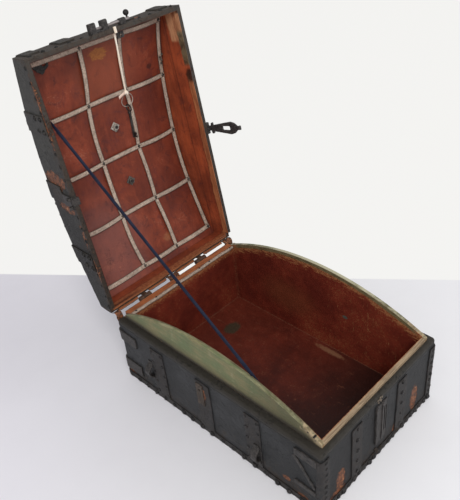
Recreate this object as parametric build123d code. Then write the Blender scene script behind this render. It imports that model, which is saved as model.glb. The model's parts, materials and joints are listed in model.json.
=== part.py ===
from build123d import *
import os
from math import atan2, cos, degrees, hypot, radians, sin, sqrt

# Leather-covered travel box, shown open. Millimetres, +X right, -Y front, +Y hinge side, +Z up.
# The origin is the centre of the underside. The lid is modelled closed and then swung open.

# Body
BODY_WIDTH = 266.0
BODY_DEPTH = 400.0
LEDGE_HEIGHT = 118.0
CORNER_RADIUS = 5.0
LEDGE_RADIUS = 4.0
LEATHER = 1.2
LINING = 0.8
BOTTOM_THICKNESS = 8.0
SIDE_WALL = 18.0
FRONT_WALL = 13.5
BACK_WALL = 17.0
FRONT_LIP = 6.0
FRONT_LIP_RISE = 5.5
BACK_RISE = 6.0

# Arched tongues that stand up inside the lid
TONGUE = 6.0
ARCH_RISE = 44.0
ARCH_BACK_INSET = 8.0
FACING = 0.8

# Lid
LID_OVERHANG = 1.0
LID_WALL = 7.0
LID_TAPER = 0.10
LID_CLOSED_GAP = 0.3
DOME_SPRING = 34.0
DOME_RISE = 35.0
TOP_THICKNESS = 9.0
LID_EDGE_RADIUS = 4.0

# Lid hinge axis, behind the back wall and just above the ledge
HINGE_BEHIND = 6.0
HINGE_LIFT = 2.0
OPEN_ANGLE = 98.58

# Snipe hinges of the lid
HINGE_X = (-69.0, 56.0)
HINGE_WIDTH = 22.0
HINGE_LEAF = 2.0
HINGE_LEAF_LENGTH = 44.0
HINGE_KNUCKLE_RADIUS = 4.6
HINGE_PIN_RADIUS = 1.7
HINGE_MIDDLE = 8.0
HINGE_SIDE_GAP = 0.25
HINGE_PIN_ENDS = 1.0
HINGE_SHOULDER = 1.6
LID_LEAF_LENGTH = 30.8
RUNNING_FIT = 0.05

# Leather flaps that bridge the hinge gap
FLAP_CENTRE_SHARES = (-0.947, -0.06, 0.91)
FLAP_WIDTHS = (11.0, 22.0, 18.0)
FLAP_THICKNESS = 1.0
FLAP_LENGTH = 17.0
FLAP_RADIUS = 6.6
FLAP_ANGLE = 28.0

# Raised straps
STRAP = 2.0
STRAP_WIDTH = 28.0
SIDE_STRAP_Y = (-86.0, 9.0, 108.0)
FRONT_STRAP_X = (-58.5, 46.5)
FRONT_STRAP_WIDTH = 23.0
CORNER_STRAP_WIDTH = 16.0
CORNER_STRAP_TURN = 7.0
STRAP_TOP_INSET = 12.0
LID_STRAP = 2.0
LID_STRAP_Y = (-111.0, -2.0, 108.0)
LID_EDGE_STRAP_INSET = 22.0
LID_EDGE_STRAP_WIDTH = 20.0
LID_SIDE_STRAP_FOOT = 5.0
LID_END_STRAP_FOOT = 14.0

# Iron at the corners of the body
BAND = 2.6
BAND_LENGTH = 42.0
BAND_TURN = 14.0
BACK_BAND_SHARES = ((0.25, 21.0), (0.7627, 20.0))
FRONT_BAND_SHARES = ((0.326, 7.0), (0.839, 13.0))
BRACE_WIDTH = 5.0
BRACE = 1.8
BRACE_POINTS = ((44.0, 90.0), (18.0, 58.0), (9.0, 47.0))

# Band round the bottom edge and the nails
BOTTOM_BAND = 1.8
BOTTOM_BAND_HEIGHT = 11.0
NAIL_RADIUS = 3.8
NAIL_HEIGHT = 2.2
NAIL_SIDES = 6
BOTTOM_NAIL_RADIUS = 4.3
BOTTOM_NAIL_HEIGHT = 3.2
BOTTOM_NAIL_PITCH_SIDE = 21.5
BOTTOM_NAIL_PITCH_END = 12.0
STRAP_NAIL_RADIUS = 2.4
STRAP_NAIL_HEIGHT = 1.2
STRAP_NAIL_PITCH = 24.0
STRAP_NAIL_INSET = 1.0
STRAP_NAILS_FOOT = 6.0
STRAP_NAILS_HEAD = 5.0
LID_NAIL_PITCH = 20.0
LID_NAIL_HEIGHTS = (12.0, 30.0)
LID_NAIL_INSET = 1.0
LID_NAIL_SHIFT = 4.0
LID_NAILS_FRONT = 10.0
LID_NAILS_BACK = 8.0
SMALL_NAILS_END = 6.0
RIM_NAIL_LIFT = 6.0
RIM_NAILS_END = 12.0
BOLT_NAIL_ROOM = 10.0

# Lock plate on the front
LOCK_X = -4.0
LOCK_WIDTH = 26.0
LOCK_BOTTOM = 29.0
LOCK_TOP_INSET = 14.0
LOCK_PLATE = 1.8
LOCK_RIB = 3.0
LOCK_RIB_LIFT = 1.6
LOCK_SLOT_X = 2.0
LOCK_SLOT_WIDTH = 5.0
LOCK_SLOT_HEIGHT = 52.0
LOCK_SLIT_X = 7.5
LOCK_SLIT_WIDTH = 2.0

# Loops on the side walls that a cord or strap passes through
LOOP_PLACES = ((128.0, 55.0), (-93.0, 38.0))
LOOP_WIDTH = 11.0
LOOP_HALF_HEIGHT = 14.0
LOOP_REACH = 10.5
LOOP_THICKNESS = 2.6
LOOP_FOOT = 5.0
LOOP_FOOT_THICKNESS = 2.0
LOOP_FOOT_LAP = 1.0

# Rest of the lost catch on the left wall
CATCH_Y = 13.5
CATCH_WIDTH = 13.0
CATCH_TOP_INSET = 16.0
CATCH_HEIGHT = 43.0
CATCH_THICKNESS = 1.2
CATCH_HOLE_RADIUS = 2.2
CATCH_HOLE_DROP = 12.0

# Side hasp on the lid's right rim, its mount and its staple; the left one is broken
HASP_Y = -3.5
BROKEN_HASP_Y = 4.0
HASP_DROOP = 75.0
HASP_AXIS_OUT = 4.5
HASP_AXIS_LIFT = 3.7
HASP_LENGTH = 61.0
HASP_THICKNESS = 3.0
HASP_WIDTH = 21.0
HASP_COLLAR_AT = 10.0
HASP_COLLAR = 3.0
HASP_COLLAR_WIDTH = 18.0
HASP_COLLAR_LIFT = 1.2
HASP_SHOULDER = 1.0
HASP_NECK_WIDTH = 8.4
HASP_KNUCKLE_RADIUS = 3.2
HASP_PIN_RADIUS = 1.2
HASP_CURL_RADIUS = 2.4
HASP_CURL_WIDTH = 6.3
HASP_PIN_END = 0.8
SLOT_START = 30.0
SLOT_LENGTH = 14.0
SLOT_WIDTH = 7.0
SLOT_CORNER = 1.6
MOUNT_WIDTH = 18.0
MOUNT_HEIGHT = 30.0
MOUNT_THICKNESS = 2.4
MOUNT_FOOT = 1.0
MOUNT_GAP = 1.0
KNUCKLE_ROOM = 0.4
BROKEN_WIDTH = 12.0
BROKEN_THICKNESS = 1.1
BROKEN_LIFT = 0.2
BROKEN_INSIDE = 3.0
BROKEN_TURN_UP = 7.0
STAPLE_WIRE_RADIUS = 1.3
STAPLE_LEGS = 8.0
STAPLE_REACH = 11.0
STAPLE_BEND = 3.0
STAPLE_RAISE = 0.5

# Front bolt with its ball knob, its catch and its keeper
BOLT_RADIUS = 1.7
BOLT_OUT = 5.5
BOLT_LIFT = 4.2
BOLT_START_X = -25.0
BOLT_END_X = 42.5
BOLT_TRAVEL = 18.0
KNOB_X = 39.5
KNOB_RADIUS = 4.25
KNOB_NECK_RADIUS = 1.5
KNOB_NECK = 8.0
CATCH_BLOCK_X = -12.0
CATCH_BLOCK_WIDTH = 30.0
CATCH_CHEEK = 10.0
CATCH_BASE = 2.4
CATCH_BLOCK_OUT = 14.5
KEEPER_X = 29.0
KEEPER_WIDTH = 10.0
KEEPER_OUT = 9.0
BLOCK_HALF_HEIGHT = 3.7
BLOCK_EDGE_RADIUS = 2.7
BOLT_END_ROOM = 0.4
LATCH_X = 23.0
LATCH_WIDTH = 12.0
LATCH_THICKNESS = 1.4
LATCH_HEIGHT = 15.0
LATCH_LIP = 10.0
LATCH_LIFT = 7.0
LATCH_HOLE_RADIUS = 2.4

# Carrying handle on the crown
HANDLE_X = 6.5
LUG_Y = (-50.0, 43.0)
HANDLE_LIFT = 9.6
HANDLE_WIRE_RADIUS = 3.0
HANDLE_REACH = 34.0
HANDLE_STUB = 5.0
HANDLE_SHOULDER = 11.0
HANDLE_BEND = 8.0
LUG_EYE_RADIUS = 7.0
LUG_EYE_WIDTH = 6.0
LUG_SHANK_RADIUS = 2.5
LUG_FLANGE_RADIUS = 7.5
LUG_FLANGE = 2.5
WASHER_SIDE = 12.0
WASHER = 1.6
NUT_SIDE = 7.5
NUT = 3.2
BOLT_HOLE_CLEARANCE = 0.1
BOLT_END = 1.2

# Tape lattice on the lid's panel
TAPE_WIDTH = 7.5
TAPE = 0.6
LONG_TAPE_SHARES = (-0.851, -0.2336, 0.3022, 0.8657)
CROSS_TAPE_SHARES = (-0.924, -0.49, -0.018, 0.4425, 0.89)
TAPE_ZONE = 8.0
LATTICE_NAIL_RADIUS = 2.0
LATTICE_NAIL_HEIGHT = 1.1
LATTICE_NAIL_SEAT = 0.01

# Torn iron flat on the panel, measured in from the lid's left wall and front
TORN_OUTLINE = ((24.0, 9.0), (38.0, 9.0), (50.0, 14.0), (51.0, 25.0), (38.0, 33.0), (26.0, 23.0))
TORN_THICKNESS = 1.2
TORN_HOLE = (44.0, 20.0)
TORN_HOLE_RADIUS = 3.2

# Tape on the back board's inner edge
RIM_TAPE_WIDTH = 7.5
RIM_TAPE = 0.5

# Stay ribbon, from the left arch to the lid's left wall, drawn tight
STAY_WIDTH = 5.5
STAY = 0.4
STAY_FOOT_SHARE = -0.46
STAY_FOOT_LIFT = 32.0
STAY_HEAD_SHARE = -0.57
STAY_HEAD_LIFT = 3.0
STAY_CLEARANCE = 0.9

# Key on its ribbon, hanging straight down from the lid's front wall
RIBBON_X = 12.8
RIBBON_LIFT = 6.0
RIBBON_WIDTH = 4.0
RIBBON = 0.6
RIBBON_LENGTH = 88.0
RIBBON_WALL_GAP = 0.3
KNOT_RADIUS = 2.6
RING_RADIUS = 10.0
RING_WIRE_RADIUS = 0.8
KEY_LENGTH = 55.0
KEY_BOW_RADIUS = 5.0
KEY_WIRE_RADIUS = 1.3
KEY_SHANK_RADIUS = 1.9
KEY_BIT_HEIGHT = 8.0
KEY_BIT_REACH = 8.5
KEY_BIT = 2.2
KEY_BIT_LIFT = 2.5
KEY_WARD = 1.6
KEY_WARD_DEPTH = 3.0
KEY_COLLAR = 1.6
KEY_COLLAR_DROP = 2.0
KEY_COLLAR_RISE = 0.8
LINK_GAP = 0.1

# Places that follow from the sizes above
half_width = BODY_WIDTH / 2
half_depth = BODY_DEPTH / 2
inner_x = half_width - SIDE_WALL
lid_half_width = half_width + LID_OVERHANG
inner_front = -half_depth + FRONT_WALL
inner_back = half_depth - BACK_WALL
tongue_x = inner_x + TONGUE
lip_front = inner_front - FRONT_LIP
lip_top = LEDGE_HEIGHT + FRONT_LIP_RISE
back_top = LEDGE_HEIGHT + BACK_RISE
arch_back = half_depth - ARCH_BACK_INSET
board_bottom = LEATHER + BOTTOM_THICKNESS
floor_height = board_bottom + LINING
hinge_y = half_depth + HINGE_BEHIND
hinge_z = LEDGE_HEIGHT + HINGE_LIFT
strap_top = LEDGE_HEIGHT - STRAP_TOP_INSET
back_bands = [(share * LEDGE_HEIGHT, height) for share, height in BACK_BAND_SHARES]
front_bands = [(share * LEDGE_HEIGHT, height) for share, height in FRONT_BAND_SHARES]

rim = LEDGE_HEIGHT + LID_CLOSED_GAP
lid_front = -half_depth - LID_OVERHANG
lid_back = half_depth
lid_back_rim = back_top + LID_CLOSED_GAP
dome_spring = rim + DOME_SPRING
dome_reach = (lid_back - lid_front) / 2 - LID_WALL
dome_centre_y = (lid_back + lid_front) / 2
dome_radius = (dome_reach**2 + DOME_RISE**2) / (2 * DOME_RISE)
dome_centre_z = dome_spring + DOME_RISE - dome_radius
outer_offset = TOP_THICKNESS + LEATHER
lid_reach = dome_spring + DOME_RISE + outer_offset - rim
lid_edge_strap_x = lid_half_width - LID_EDGE_STRAP_INSET
long_tape_x = [share * lid_half_width for share in LONG_TAPE_SHARES]
cross_tape_y = [share * half_depth for share in CROSS_TAPE_SHARES]

arch_half = (arch_back - lip_front) / 2
arch_centre_y = (arch_back + lip_front) / 2
arch_radius = (arch_half**2 + ARCH_RISE**2) / (2 * ARCH_RISE)
arch_centre_z = lip_top + ARCH_RISE - arch_radius

hasp_x = lid_half_width + HASP_AXIS_OUT
hasp_z = rim + HASP_AXIS_LIFT
bolt_y = lid_front - BOLT_OUT
bolt_z = rim + BOLT_LIFT
handle_z = dome_spring + DOME_RISE + outer_offset + HANDLE_LIFT
FAR = 1000.0


def block(x0, x1, y0, y1, z0, z1):
    """A box between two corners."""
    middle = Pos((x0 + x1) / 2, (y0 + y1) / 2, (z0 + z1) / 2)
    return middle * Box(abs(x1 - x0), abs(y1 - y0), abs(z1 - z0))


def both_sides(part):
    """The part and its mirror image on the other side wall."""
    return Compound(part.solids() + mirror(part, about=Plane.YZ).solids())


def group(parts):
    """Separate solids kept as one node."""
    solids = []
    for part in parts:
        solids += part.solids()
    return Compound(solids)


def opened(part):
    """Swings a piece of the closed lid to its open place."""
    return part.rotate(Axis((0, hinge_y, hinge_z), (1, 0, 0)), -OPEN_ANGLE)


def open_point(x, y, z):
    """A point of the closed lid in its open place."""
    turn = radians(-OPEN_ANGLE)
    dy = y - hinge_y
    dz = z - hinge_z
    return Vector(x, hinge_y + dy * cos(turn) - dz * sin(turn), hinge_z + dy * sin(turn) + dz * cos(turn))


def arched_slab(x0, x1, y0, y1, bottom, centre_y, centre_z, radius):
    """A slab square to X whose top edge is an arc."""

    def top(y):
        return centre_z + sqrt(radius**2 - (y - centre_y) ** 2)

    middle = (y0 + y1) / 2
    sides = Polyline((y0, top(y0)), (y0, bottom), (y1, bottom), (y1, top(y1)))
    arc = ThreePointArc((y1, top(y1)), (middle, top(middle)), (y0, top(y0)))
    face = Plane.YZ.offset(x0) * make_face(sides + arc)
    return extrude(face, x1 - x0)


def nail_head(radius, height):
    """A hand-forged head: a low pyramid."""
    return loft([RegularPolygon(radius, NAIL_SIDES).face(), Vertex(0, 0, height)])


def nails(places, radius, height):
    """Heads at (point, outward direction) places."""
    head = nail_head(radius, height)
    return [Plane(origin=point, z_dir=out).location * head for point, out in places]


def spread(start, end, pitch):
    """Evenly spaced values from start to end, about a pitch apart."""
    count = max(1, round((end - start) / pitch))
    return [start + (end - start) * i / count for i in range(count + 1)]


def write(name, part):
    export_step(part, f"parts/{name}.step")


# Body


def body_block(grow, top):
    """The body's outer form, grown from the leather's face, with its rounded ledge."""
    outline = Rectangle(BODY_WIDTH + 2 * grow, BODY_DEPTH + 2 * grow)
    form = extrude(fillet(outline.vertices(), CORNER_RADIUS + grow), top)
    return fillet(form.edges().group_by(Axis.Z)[-1], LEDGE_RADIUS + grow)


def wall_skin(thickness):
    """What lies on the walls' leather, this thick, from the ground up."""

    def prism(grow):
        form = Rectangle(BODY_WIDTH + 2 * grow, BODY_DEPTH + 2 * grow)
        return extrude(fillet(form.vertices(), CORNER_RADIUS + grow), strap_top)

    return prism(thickness) - prism(0)


def tongue(outer_x, inner, cut):
    """An arched tongue between two planes, its arc lowered by cut."""
    foot = LEDGE_HEIGHT - LEATHER
    radius = arch_radius - cut
    return arched_slab(inner, outer_x, lip_front, arch_back, foot, arch_centre_y, arch_centre_z, radius)


def make_body_shell():
    core = body_block(-LEATHER, LEDGE_HEIGHT - LEATHER)
    cover = body_block(0, LEDGE_HEIGHT)
    board_x = inner_x + LINING
    board_front = inner_front - LINING
    board_back = inner_back + LINING
    write("bottom_board", core & block(-FAR, FAR, -FAR, FAR, LEATHER, board_bottom))
    write("bottom_leather", cover & block(-FAR, FAR, -FAR, FAR, 0, LEATHER))

    front = core & block(-board_x, board_x, -FAR, board_front, board_bottom, FAR)
    front += block(-board_x, board_x, lip_front, board_front, board_bottom, lip_top)
    write("front_board", front)
    back = block(-board_x, board_x, board_back, half_depth - LEATHER, board_bottom, back_top)
    write("back_board", back)

    side = core & block(board_x, FAR, -FAR, FAR, board_bottom, FAR)
    side += tongue(tongue_x - FACING, board_x, FACING)
    write("right_side_board", side)
    write("left_side_board", mirror(side, about=Plane.YZ))
    facing = tongue(tongue_x, board_x, 0) - tongue(tongue_x - FACING, board_x, FACING)
    facing -= block(0, tongue_x - FACING, -FAR, FAR, 0, lip_top - FACING)
    facing -= block(0, FAR, -FAR, FAR, 0, LEDGE_HEIGHT)
    facing = facing.solids().sort_by(SortBy.VOLUME)[-1]
    write("right_arch_facing", facing)
    write("left_arch_facing", mirror(facing, about=Plane.YZ))

    leather = cover - core - back - block(-FAR, FAR, -FAR, FAR, 0, LEATHER)
    leather -= block(-tongue_x, tongue_x, lip_front, FAR, LEDGE_HEIGHT - 2 * LEATHER, FAR)
    write("body_leather", leather)


def make_linings():
    edge_x = inner_x + LINING
    front_y = inner_front - LINING
    back_y = inner_back + LINING
    write("floor_lining", block(-edge_x, edge_x, front_y, back_y, board_bottom, floor_height))
    front = block(-inner_x, inner_x, front_y, inner_front, floor_height, lip_top)
    back = block(-inner_x, inner_x, inner_back, back_y, floor_height, back_top)
    write("end_linings", group([front, back]))
    side = arched_slab(
        inner_x, edge_x, front_y, back_y, floor_height, arch_centre_y, arch_centre_z, arch_radius
    )
    write("side_linings", both_sides(side))
    tape = block(-inner_x, inner_x, inner_back, inner_back + RIM_TAPE_WIDTH, back_top, back_top + RIM_TAPE)
    write("back_rim_tape", tape)


def make_body_straps():
    skin = wall_skin(STRAP)
    above_band = (BOTTOM_BAND_HEIGHT, strap_top)
    half = STRAP_WIDTH / 2
    right = [skin & block(half_width - 1, FAR, y - half, y + half, *above_band) for y in SIDE_STRAP_Y]
    right = group(right)
    write("right_wall_straps", right)
    write("left_wall_straps", mirror(right, about=Plane.YZ))
    half = FRONT_STRAP_WIDTH / 2
    front = [skin & block(x - half, x + half, -FAR, 0, *above_band) for x in FRONT_STRAP_X]
    write("front_wall_straps", group(front))
    inside = half_width - CORNER_STRAP_WIDTH
    corner = skin & block(inside, FAR, -FAR, -half_depth + CORNER_STRAP_TURN, *above_band)
    write("front_corner_straps", both_sides(corner))


def make_corner_irons():
    skin = wall_skin(BAND)
    irons = []
    for middle, height in back_bands:
        low = middle - height / 2
        zone = block(half_width - BAND_TURN, FAR, half_depth - BAND_LENGTH, FAR, low, low + height)
        irons.append(skin & zone)
    front_edge = -half_depth + CORNER_STRAP_TURN
    for middle, height in front_bands:
        low = middle - height / 2
        zone = block(half_width - 1, FAR, front_edge, -half_depth + BAND_LENGTH, low, low + height)
        irons.append(skin & zone)
    outline = Polyline(*[(-half_depth + y, z) for y, z in BRACE_POINTS])
    bar = trace(outline, BRACE_WIDTH)
    brace = extrude(Plane.YZ.offset(half_width) * bar, BRACE)
    brace -= block(0, FAR, -FAR, front_edge, 0, FAR)
    for middle, height in front_bands:
        brace -= block(0, FAR, -FAR, 0, middle - height / 2, middle + height / 2)
    irons.append(brace)
    write("corner_irons", both_sides(group(irons)))
    ring = wall_skin(BOTTOM_BAND) & block(-FAR, FAR, -FAR, FAR, 0, BOTTOM_BAND_HEIGHT)
    write("bottom_band", ring)


def under_loop(y, z):
    """Whether one of the side walls' loops covers this place."""
    reach_y = LOOP_WIDTH / 2 + STRAP_NAIL_RADIUS
    reach_z = LOOP_HALF_HEIGHT + LOOP_FOOT + STRAP_NAIL_RADIUS
    return any(abs(y - loop_y) < reach_y and abs(z - loop_z) < reach_z for loop_y, loop_z in LOOP_PLACES)


def make_body_nails():
    z = BOTTOM_BAND_HEIGHT / 2
    side_x = half_width + BOTTOM_BAND
    end_y = half_depth + BOTTOM_BAND
    clear = CORNER_RADIUS + BOTTOM_NAIL_RADIUS
    places = []
    for y in spread(-half_depth + clear, half_depth - clear, BOTTOM_NAIL_PITCH_SIDE):
        places.append(((side_x, y, z), (1, 0, 0)))
        places.append(((-side_x, y, z), (-1, 0, 0)))
    for x in spread(-half_width + clear, half_width - clear, BOTTOM_NAIL_PITCH_END):
        places.append(((x, -end_y, z), (0, -1, 0)))
        places.append(((x, end_y, z), (0, 1, 0)))
    write("bottom_nails", group(nails(places, BOTTOM_NAIL_RADIUS, BOTTOM_NAIL_HEIGHT)))

    places = []
    heights = (BOTTOM_BAND_HEIGHT + STRAP_NAILS_FOOT, strap_top - STRAP_NAILS_HEAD)
    inset = STRAP_WIDTH / 2 - STRAP_NAIL_RADIUS - STRAP_NAIL_INSET
    for middle in (SIDE_STRAP_Y[0], SIDE_STRAP_Y[-1]):
        for y in (middle - inset, middle + inset):
            for z in spread(*heights, STRAP_NAIL_PITCH):
                if not under_loop(y, z):
                    places.append(((half_width + STRAP, y, z), (1, 0, 0)))
    for middle in FRONT_STRAP_X:
        for z in spread(*heights, STRAP_NAIL_PITCH):
            places.append(((middle, -half_depth - STRAP, z), (0, -1, 0)))
    for x in (-half_width + CORNER_STRAP_WIDTH / 2, half_width - CORNER_STRAP_WIDTH / 2):
        for z in spread(*heights, STRAP_NAIL_PITCH / 2):
            places.append(((x, -half_depth - STRAP, z), (0, -1, 0)))
    mirrored = [((-x, y, z), (-1, 0, 0)) for (x, y, z), out in places if out == (1, 0, 0)]
    write("strap_nails", group(nails(places + mirrored, STRAP_NAIL_RADIUS, STRAP_NAIL_HEIGHT)))


def make_lock_plate():
    left = LOCK_X - LOCK_WIDTH / 2
    right = LOCK_X + LOCK_WIDTH / 2
    top = LEDGE_HEIGHT - LOCK_TOP_INSET
    face = -half_depth - LOCK_PLATE
    plate = block(left, right, face, -half_depth, LOCK_BOTTOM, top)
    rib = face - LOCK_RIB_LIFT
    for x in (left, LOCK_SLOT_X - LOCK_SLOT_WIDTH / 2 - LOCK_RIB):
        plate += block(x, x + LOCK_RIB, rib, face, LOCK_BOTTOM, top)
    middle = (LOCK_BOTTOM + top) / 2
    low = middle - LOCK_SLOT_HEIGHT / 2
    high = middle + LOCK_SLOT_HEIGHT / 2
    for x, width in ((LOCK_SLOT_X, LOCK_SLOT_WIDTH), (LOCK_SLIT_X, LOCK_SLIT_WIDTH)):
        plate -= block(x - width / 2, x + width / 2, -FAR, FAR, low, high)
    write("lock_plate", plate)


def make_wall_loops():
    """Flat iron loops that stand out from the side walls, open along Y."""
    wall = half_width
    loops = []
    for y, z in LOOP_PLACES:
        on_strap = any(abs(y - middle) < STRAP_WIDTH / 2 for middle in SIDE_STRAP_Y)
        base = wall + STRAP if on_strap else wall
        y0 = y - LOOP_WIDTH / 2
        y1 = y + LOOP_WIDTH / 2
        half = LOOP_HALF_HEIGHT
        inner = half - LOOP_THICKNESS
        outer_arc = ThreePointArc((base, z - half), (base + LOOP_REACH, z), (base, z + half))
        inner_reach = base + LOOP_REACH - LOOP_THICKNESS
        inner_arc = ThreePointArc((base, z - inner), (inner_reach, z), (base, z + inner))
        ends = Line((base, z - half), (base, z - inner)) + Line((base, z + half), (base, z + inner))
        profile = Plane.XZ.offset(-y1) * make_face(outer_arc + inner_arc + ends)
        loop = extrude(profile, LOOP_WIDTH)
        for foot in (z - half - LOOP_FOOT + LOOP_FOOT_LAP, z + half - LOOP_FOOT_LAP):
            loop += block(base, base + LOOP_FOOT_THICKNESS, y0, y1, foot, foot + LOOP_FOOT)
        loops.append(loop)
    write("wall_loops", both_sides(group(loops)))


def make_catch_remains():
    face = -half_width - STRAP
    top = LEDGE_HEIGHT - CATCH_TOP_INSET
    half = CATCH_WIDTH / 2
    plate = block(face - CATCH_THICKNESS, face, CATCH_Y - half, CATCH_Y + half, top - CATCH_HEIGHT, top)
    hole = Plane.YZ * Pos(CATCH_Y, top - CATCH_HOLE_DROP) * Circle(CATCH_HOLE_RADIUS)
    write("catch_remains", plate - extrude(hole, FAR, both=True))


def make_hasp_staple():
    """A wire staple through the right wall's strap, open along Y, that the hasp's slot drops over."""
    wire = STAPLE_WIRE_RADIUS
    face = half_width + STRAP
    middle = hasp_z - SLOT_START - SLOT_LENGTH / 2 + STAPLE_RAISE
    low = middle - STAPLE_LEGS / 2
    high = middle + STAPLE_LEGS / 2
    reach = half_width + STAPLE_REACH - wire
    path = FilletPolyline((face, low), (reach, low), (reach, high), (face, high), radius=STAPLE_BEND)
    path = Plane.XZ.offset(-HASP_Y) * path
    return sweep(Plane(origin=path @ 0, z_dir=path % 0) * Circle(wire), path=path)


# Hinges


def knuckle(x0, x1, y, z, outer, bore):
    tube = Circle(outer) - Circle(bore)
    return extrude(Plane(origin=(x0, y, z), x_dir=(0, 1, 0), z_dir=(1, 0, 0)) * tube, x1 - x0)


def make_lid_hinges():
    bore = HINGE_PIN_RADIUS + RUNNING_FIT
    radius = HINGE_KNUCKLE_RADIUS
    face = half_depth
    body_leaves = []
    lid_leaves = []
    pins = []
    for x in HINGE_X:
        left = x - HINGE_WIDTH / 2
        right = x + HINGE_WIDTH / 2
        tongue_left = x - HINGE_MIDDLE / 2
        tongue_right = x + HINGE_MIDDLE / 2
        gap = HINGE_SIDE_GAP
        shoulder = radius + HINGE_SHOULDER
        drop = hinge_z - shoulder
        leaf = block(left, right, face, face + HINGE_LEAF, drop - HINGE_LEAF_LENGTH, drop)
        hole = Cylinder(bore, FAR, rotation=(0, 90, 0))
        for x0, x1 in ((left, tongue_left - gap), (tongue_right + gap, right)):
            leaf += block(x0, x1, face, face + HINGE_LEAF, drop - 1, hinge_z)
            leaf += knuckle(x0, x1, hinge_y, hinge_z, radius, bore)
        body_leaves.append(leaf - Pos(0, hinge_y, hinge_z) * hole)
        rise = max(hinge_z + shoulder, lid_back_rim)
        leaf = block(left, right, face, face + HINGE_LEAF, rise, rise + LID_LEAF_LENGTH)
        leaf += block(tongue_left, tongue_right, face, face + HINGE_LEAF, hinge_z, rise + 1)
        leaf += knuckle(tongue_left, tongue_right, hinge_y, hinge_z, radius, bore)
        lid_leaves.append(opened(leaf - Pos(0, hinge_y, hinge_z) * hole))
        pin = Cylinder(HINGE_PIN_RADIUS, HINGE_WIDTH + HINGE_PIN_ENDS, rotation=(0, 90, 0))
        pins.append(Pos(x, hinge_y, hinge_z) * pin)
    write("body_hinge_leaves", group(body_leaves))
    write("lid_hinge_leaves", group(lid_leaves))
    write("hinge_pins", group(pins))


def make_hinge_flaps():
    """Old leather that rises from the back wall and curls over the hinge line."""
    outer = FLAP_RADIUS
    inner = outer - FLAP_THICKNESS
    start = 180.0
    stop = FLAP_ANGLE
    foot = hinge_z - FLAP_LENGTH
    wall = half_depth

    def point(radius, angle):
        return (hinge_y + radius * cos(radians(angle)), hinge_z + radius * sin(radians(angle)))

    near = wall + FLAP_THICKNESS
    bend = sqrt(outer**2 - HINGE_BEHIND**2)
    bend_in = sqrt(max(inner**2 - (HINGE_BEHIND - FLAP_THICKNESS) ** 2, 0.01))
    first = degrees(atan2(bend, -HINGE_BEHIND))
    first_in = degrees(atan2(bend_in, -(HINGE_BEHIND - FLAP_THICKNESS)))
    outline = [
        Line((wall, foot), (near, foot)),
        Line((near, foot), point(inner, first_in)),
        ThreePointArc(point(inner, first_in), point(inner, (first_in + stop) / 2), point(inner, stop)),
        Line(point(inner, stop), point(outer, stop)),
        ThreePointArc(point(outer, stop), point(outer, (first + stop) / 2), point(outer, first)),
        Line(point(outer, first), (wall, foot)),
    ]
    flaps = []
    for share, width in zip(FLAP_CENTRE_SHARES, FLAP_WIDTHS):
        x = share * half_width
        face = Plane.YZ.offset(x - width / 2) * make_face(outline)
        flaps.append(extrude(face, width))
    write("hinge_flaps", group(flaps))


# Lid, modelled closed


def lid_form(grow, offset, bottom, edge_radius=0.0):
    """The lid's form: tapered sides grown from the leather's face, a dome offset from the panel."""
    y0 = lid_front - grow
    y1 = lid_back + grow
    slab = arched_slab(-FAR / 4, FAR / 4, y0, y1, bottom, dome_centre_y, dome_centre_z, dome_radius + offset)
    low = lid_half_width + grow + LID_TAPER * (rim - bottom)
    high_z = rim + lid_reach + offset + 40.0
    high = lid_half_width + grow - LID_TAPER * (high_z - rim)
    section = Polyline((-low, bottom), (low, bottom), (high, high_z), (-high, high_z), close=True)
    sides = extrude(Plane.XZ.offset(FAR / 4) * make_face(section), -FAR / 2)
    form = slab & sides
    if edge_radius:
        top = form.edges().filter_by(lambda edge: edge.center().Z > dome_spring - 5)
        form = fillet(top, edge_radius)
    return form


def back_step(height):
    """Below this height the lid's back wall is cut away over the body's back board."""
    return block(-FAR, FAR, lid_back - LID_WALL - 3, FAR, 0, height)


def make_lid_shell():
    cavity = lid_form(-LID_WALL, 0, rim - 5)
    hollow = lid_form(-LID_WALL + LINING, LINING, rim - 5)
    boards = lid_form(-LEATHER, TOP_THICKNESS, rim + LEATHER, LID_EDGE_RADIUS - LEATHER)
    cover = lid_form(0, outer_offset, rim, LID_EDGE_RADIUS)
    holes = lug_holes()
    notch = hasp_notch()

    under_dome = lid_form(20, LINING, rim - 5)
    write("lid_top_board", opened(boards - under_dome - holes))
    walls = (boards & under_dome) - hollow - back_step(lid_back_rim + LEATHER) - notch
    side_x = FAR
    front_y = lid_front + LID_WALL - LINING
    back_y = lid_back - LID_WALL + LINING
    end_zone = block(-side_x, side_x, front_y, back_y, 0, FAR)
    inner_zone = hollow_sides()
    write("lid_front_board", opened((walls & block(-FAR, FAR, -FAR, front_y, 0, FAR)) & inner_zone))
    write("lid_back_board", opened((walls & block(-FAR, FAR, back_y, FAR, 0, FAR)) & inner_zone))
    sides = walls - inner_zone
    write("lid_right_board", opened(sides & block(0, FAR, -FAR, FAR, 0, FAR)))
    write("lid_left_board", opened(sides & block(-FAR, 0, -FAR, FAR, 0, FAR)))
    leather = cover - boards - hollow - back_step(lid_back_rim) - holes - notch
    write("lid_leather", opened(leather))

    lining = hollow - cavity
    panel_zone = lid_form(20, LINING, rim - 5) - lid_form(20, 0, rim - 5)
    write("lid_panel", opened((lining & panel_zone) - holes))
    lining = (lining - panel_zone) & block(-FAR, FAR, -FAR, FAR, rim, FAR)
    write("lid_wall_linings", opened(lining - back_step(lid_back_rim) - notch))
    return cover


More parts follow.
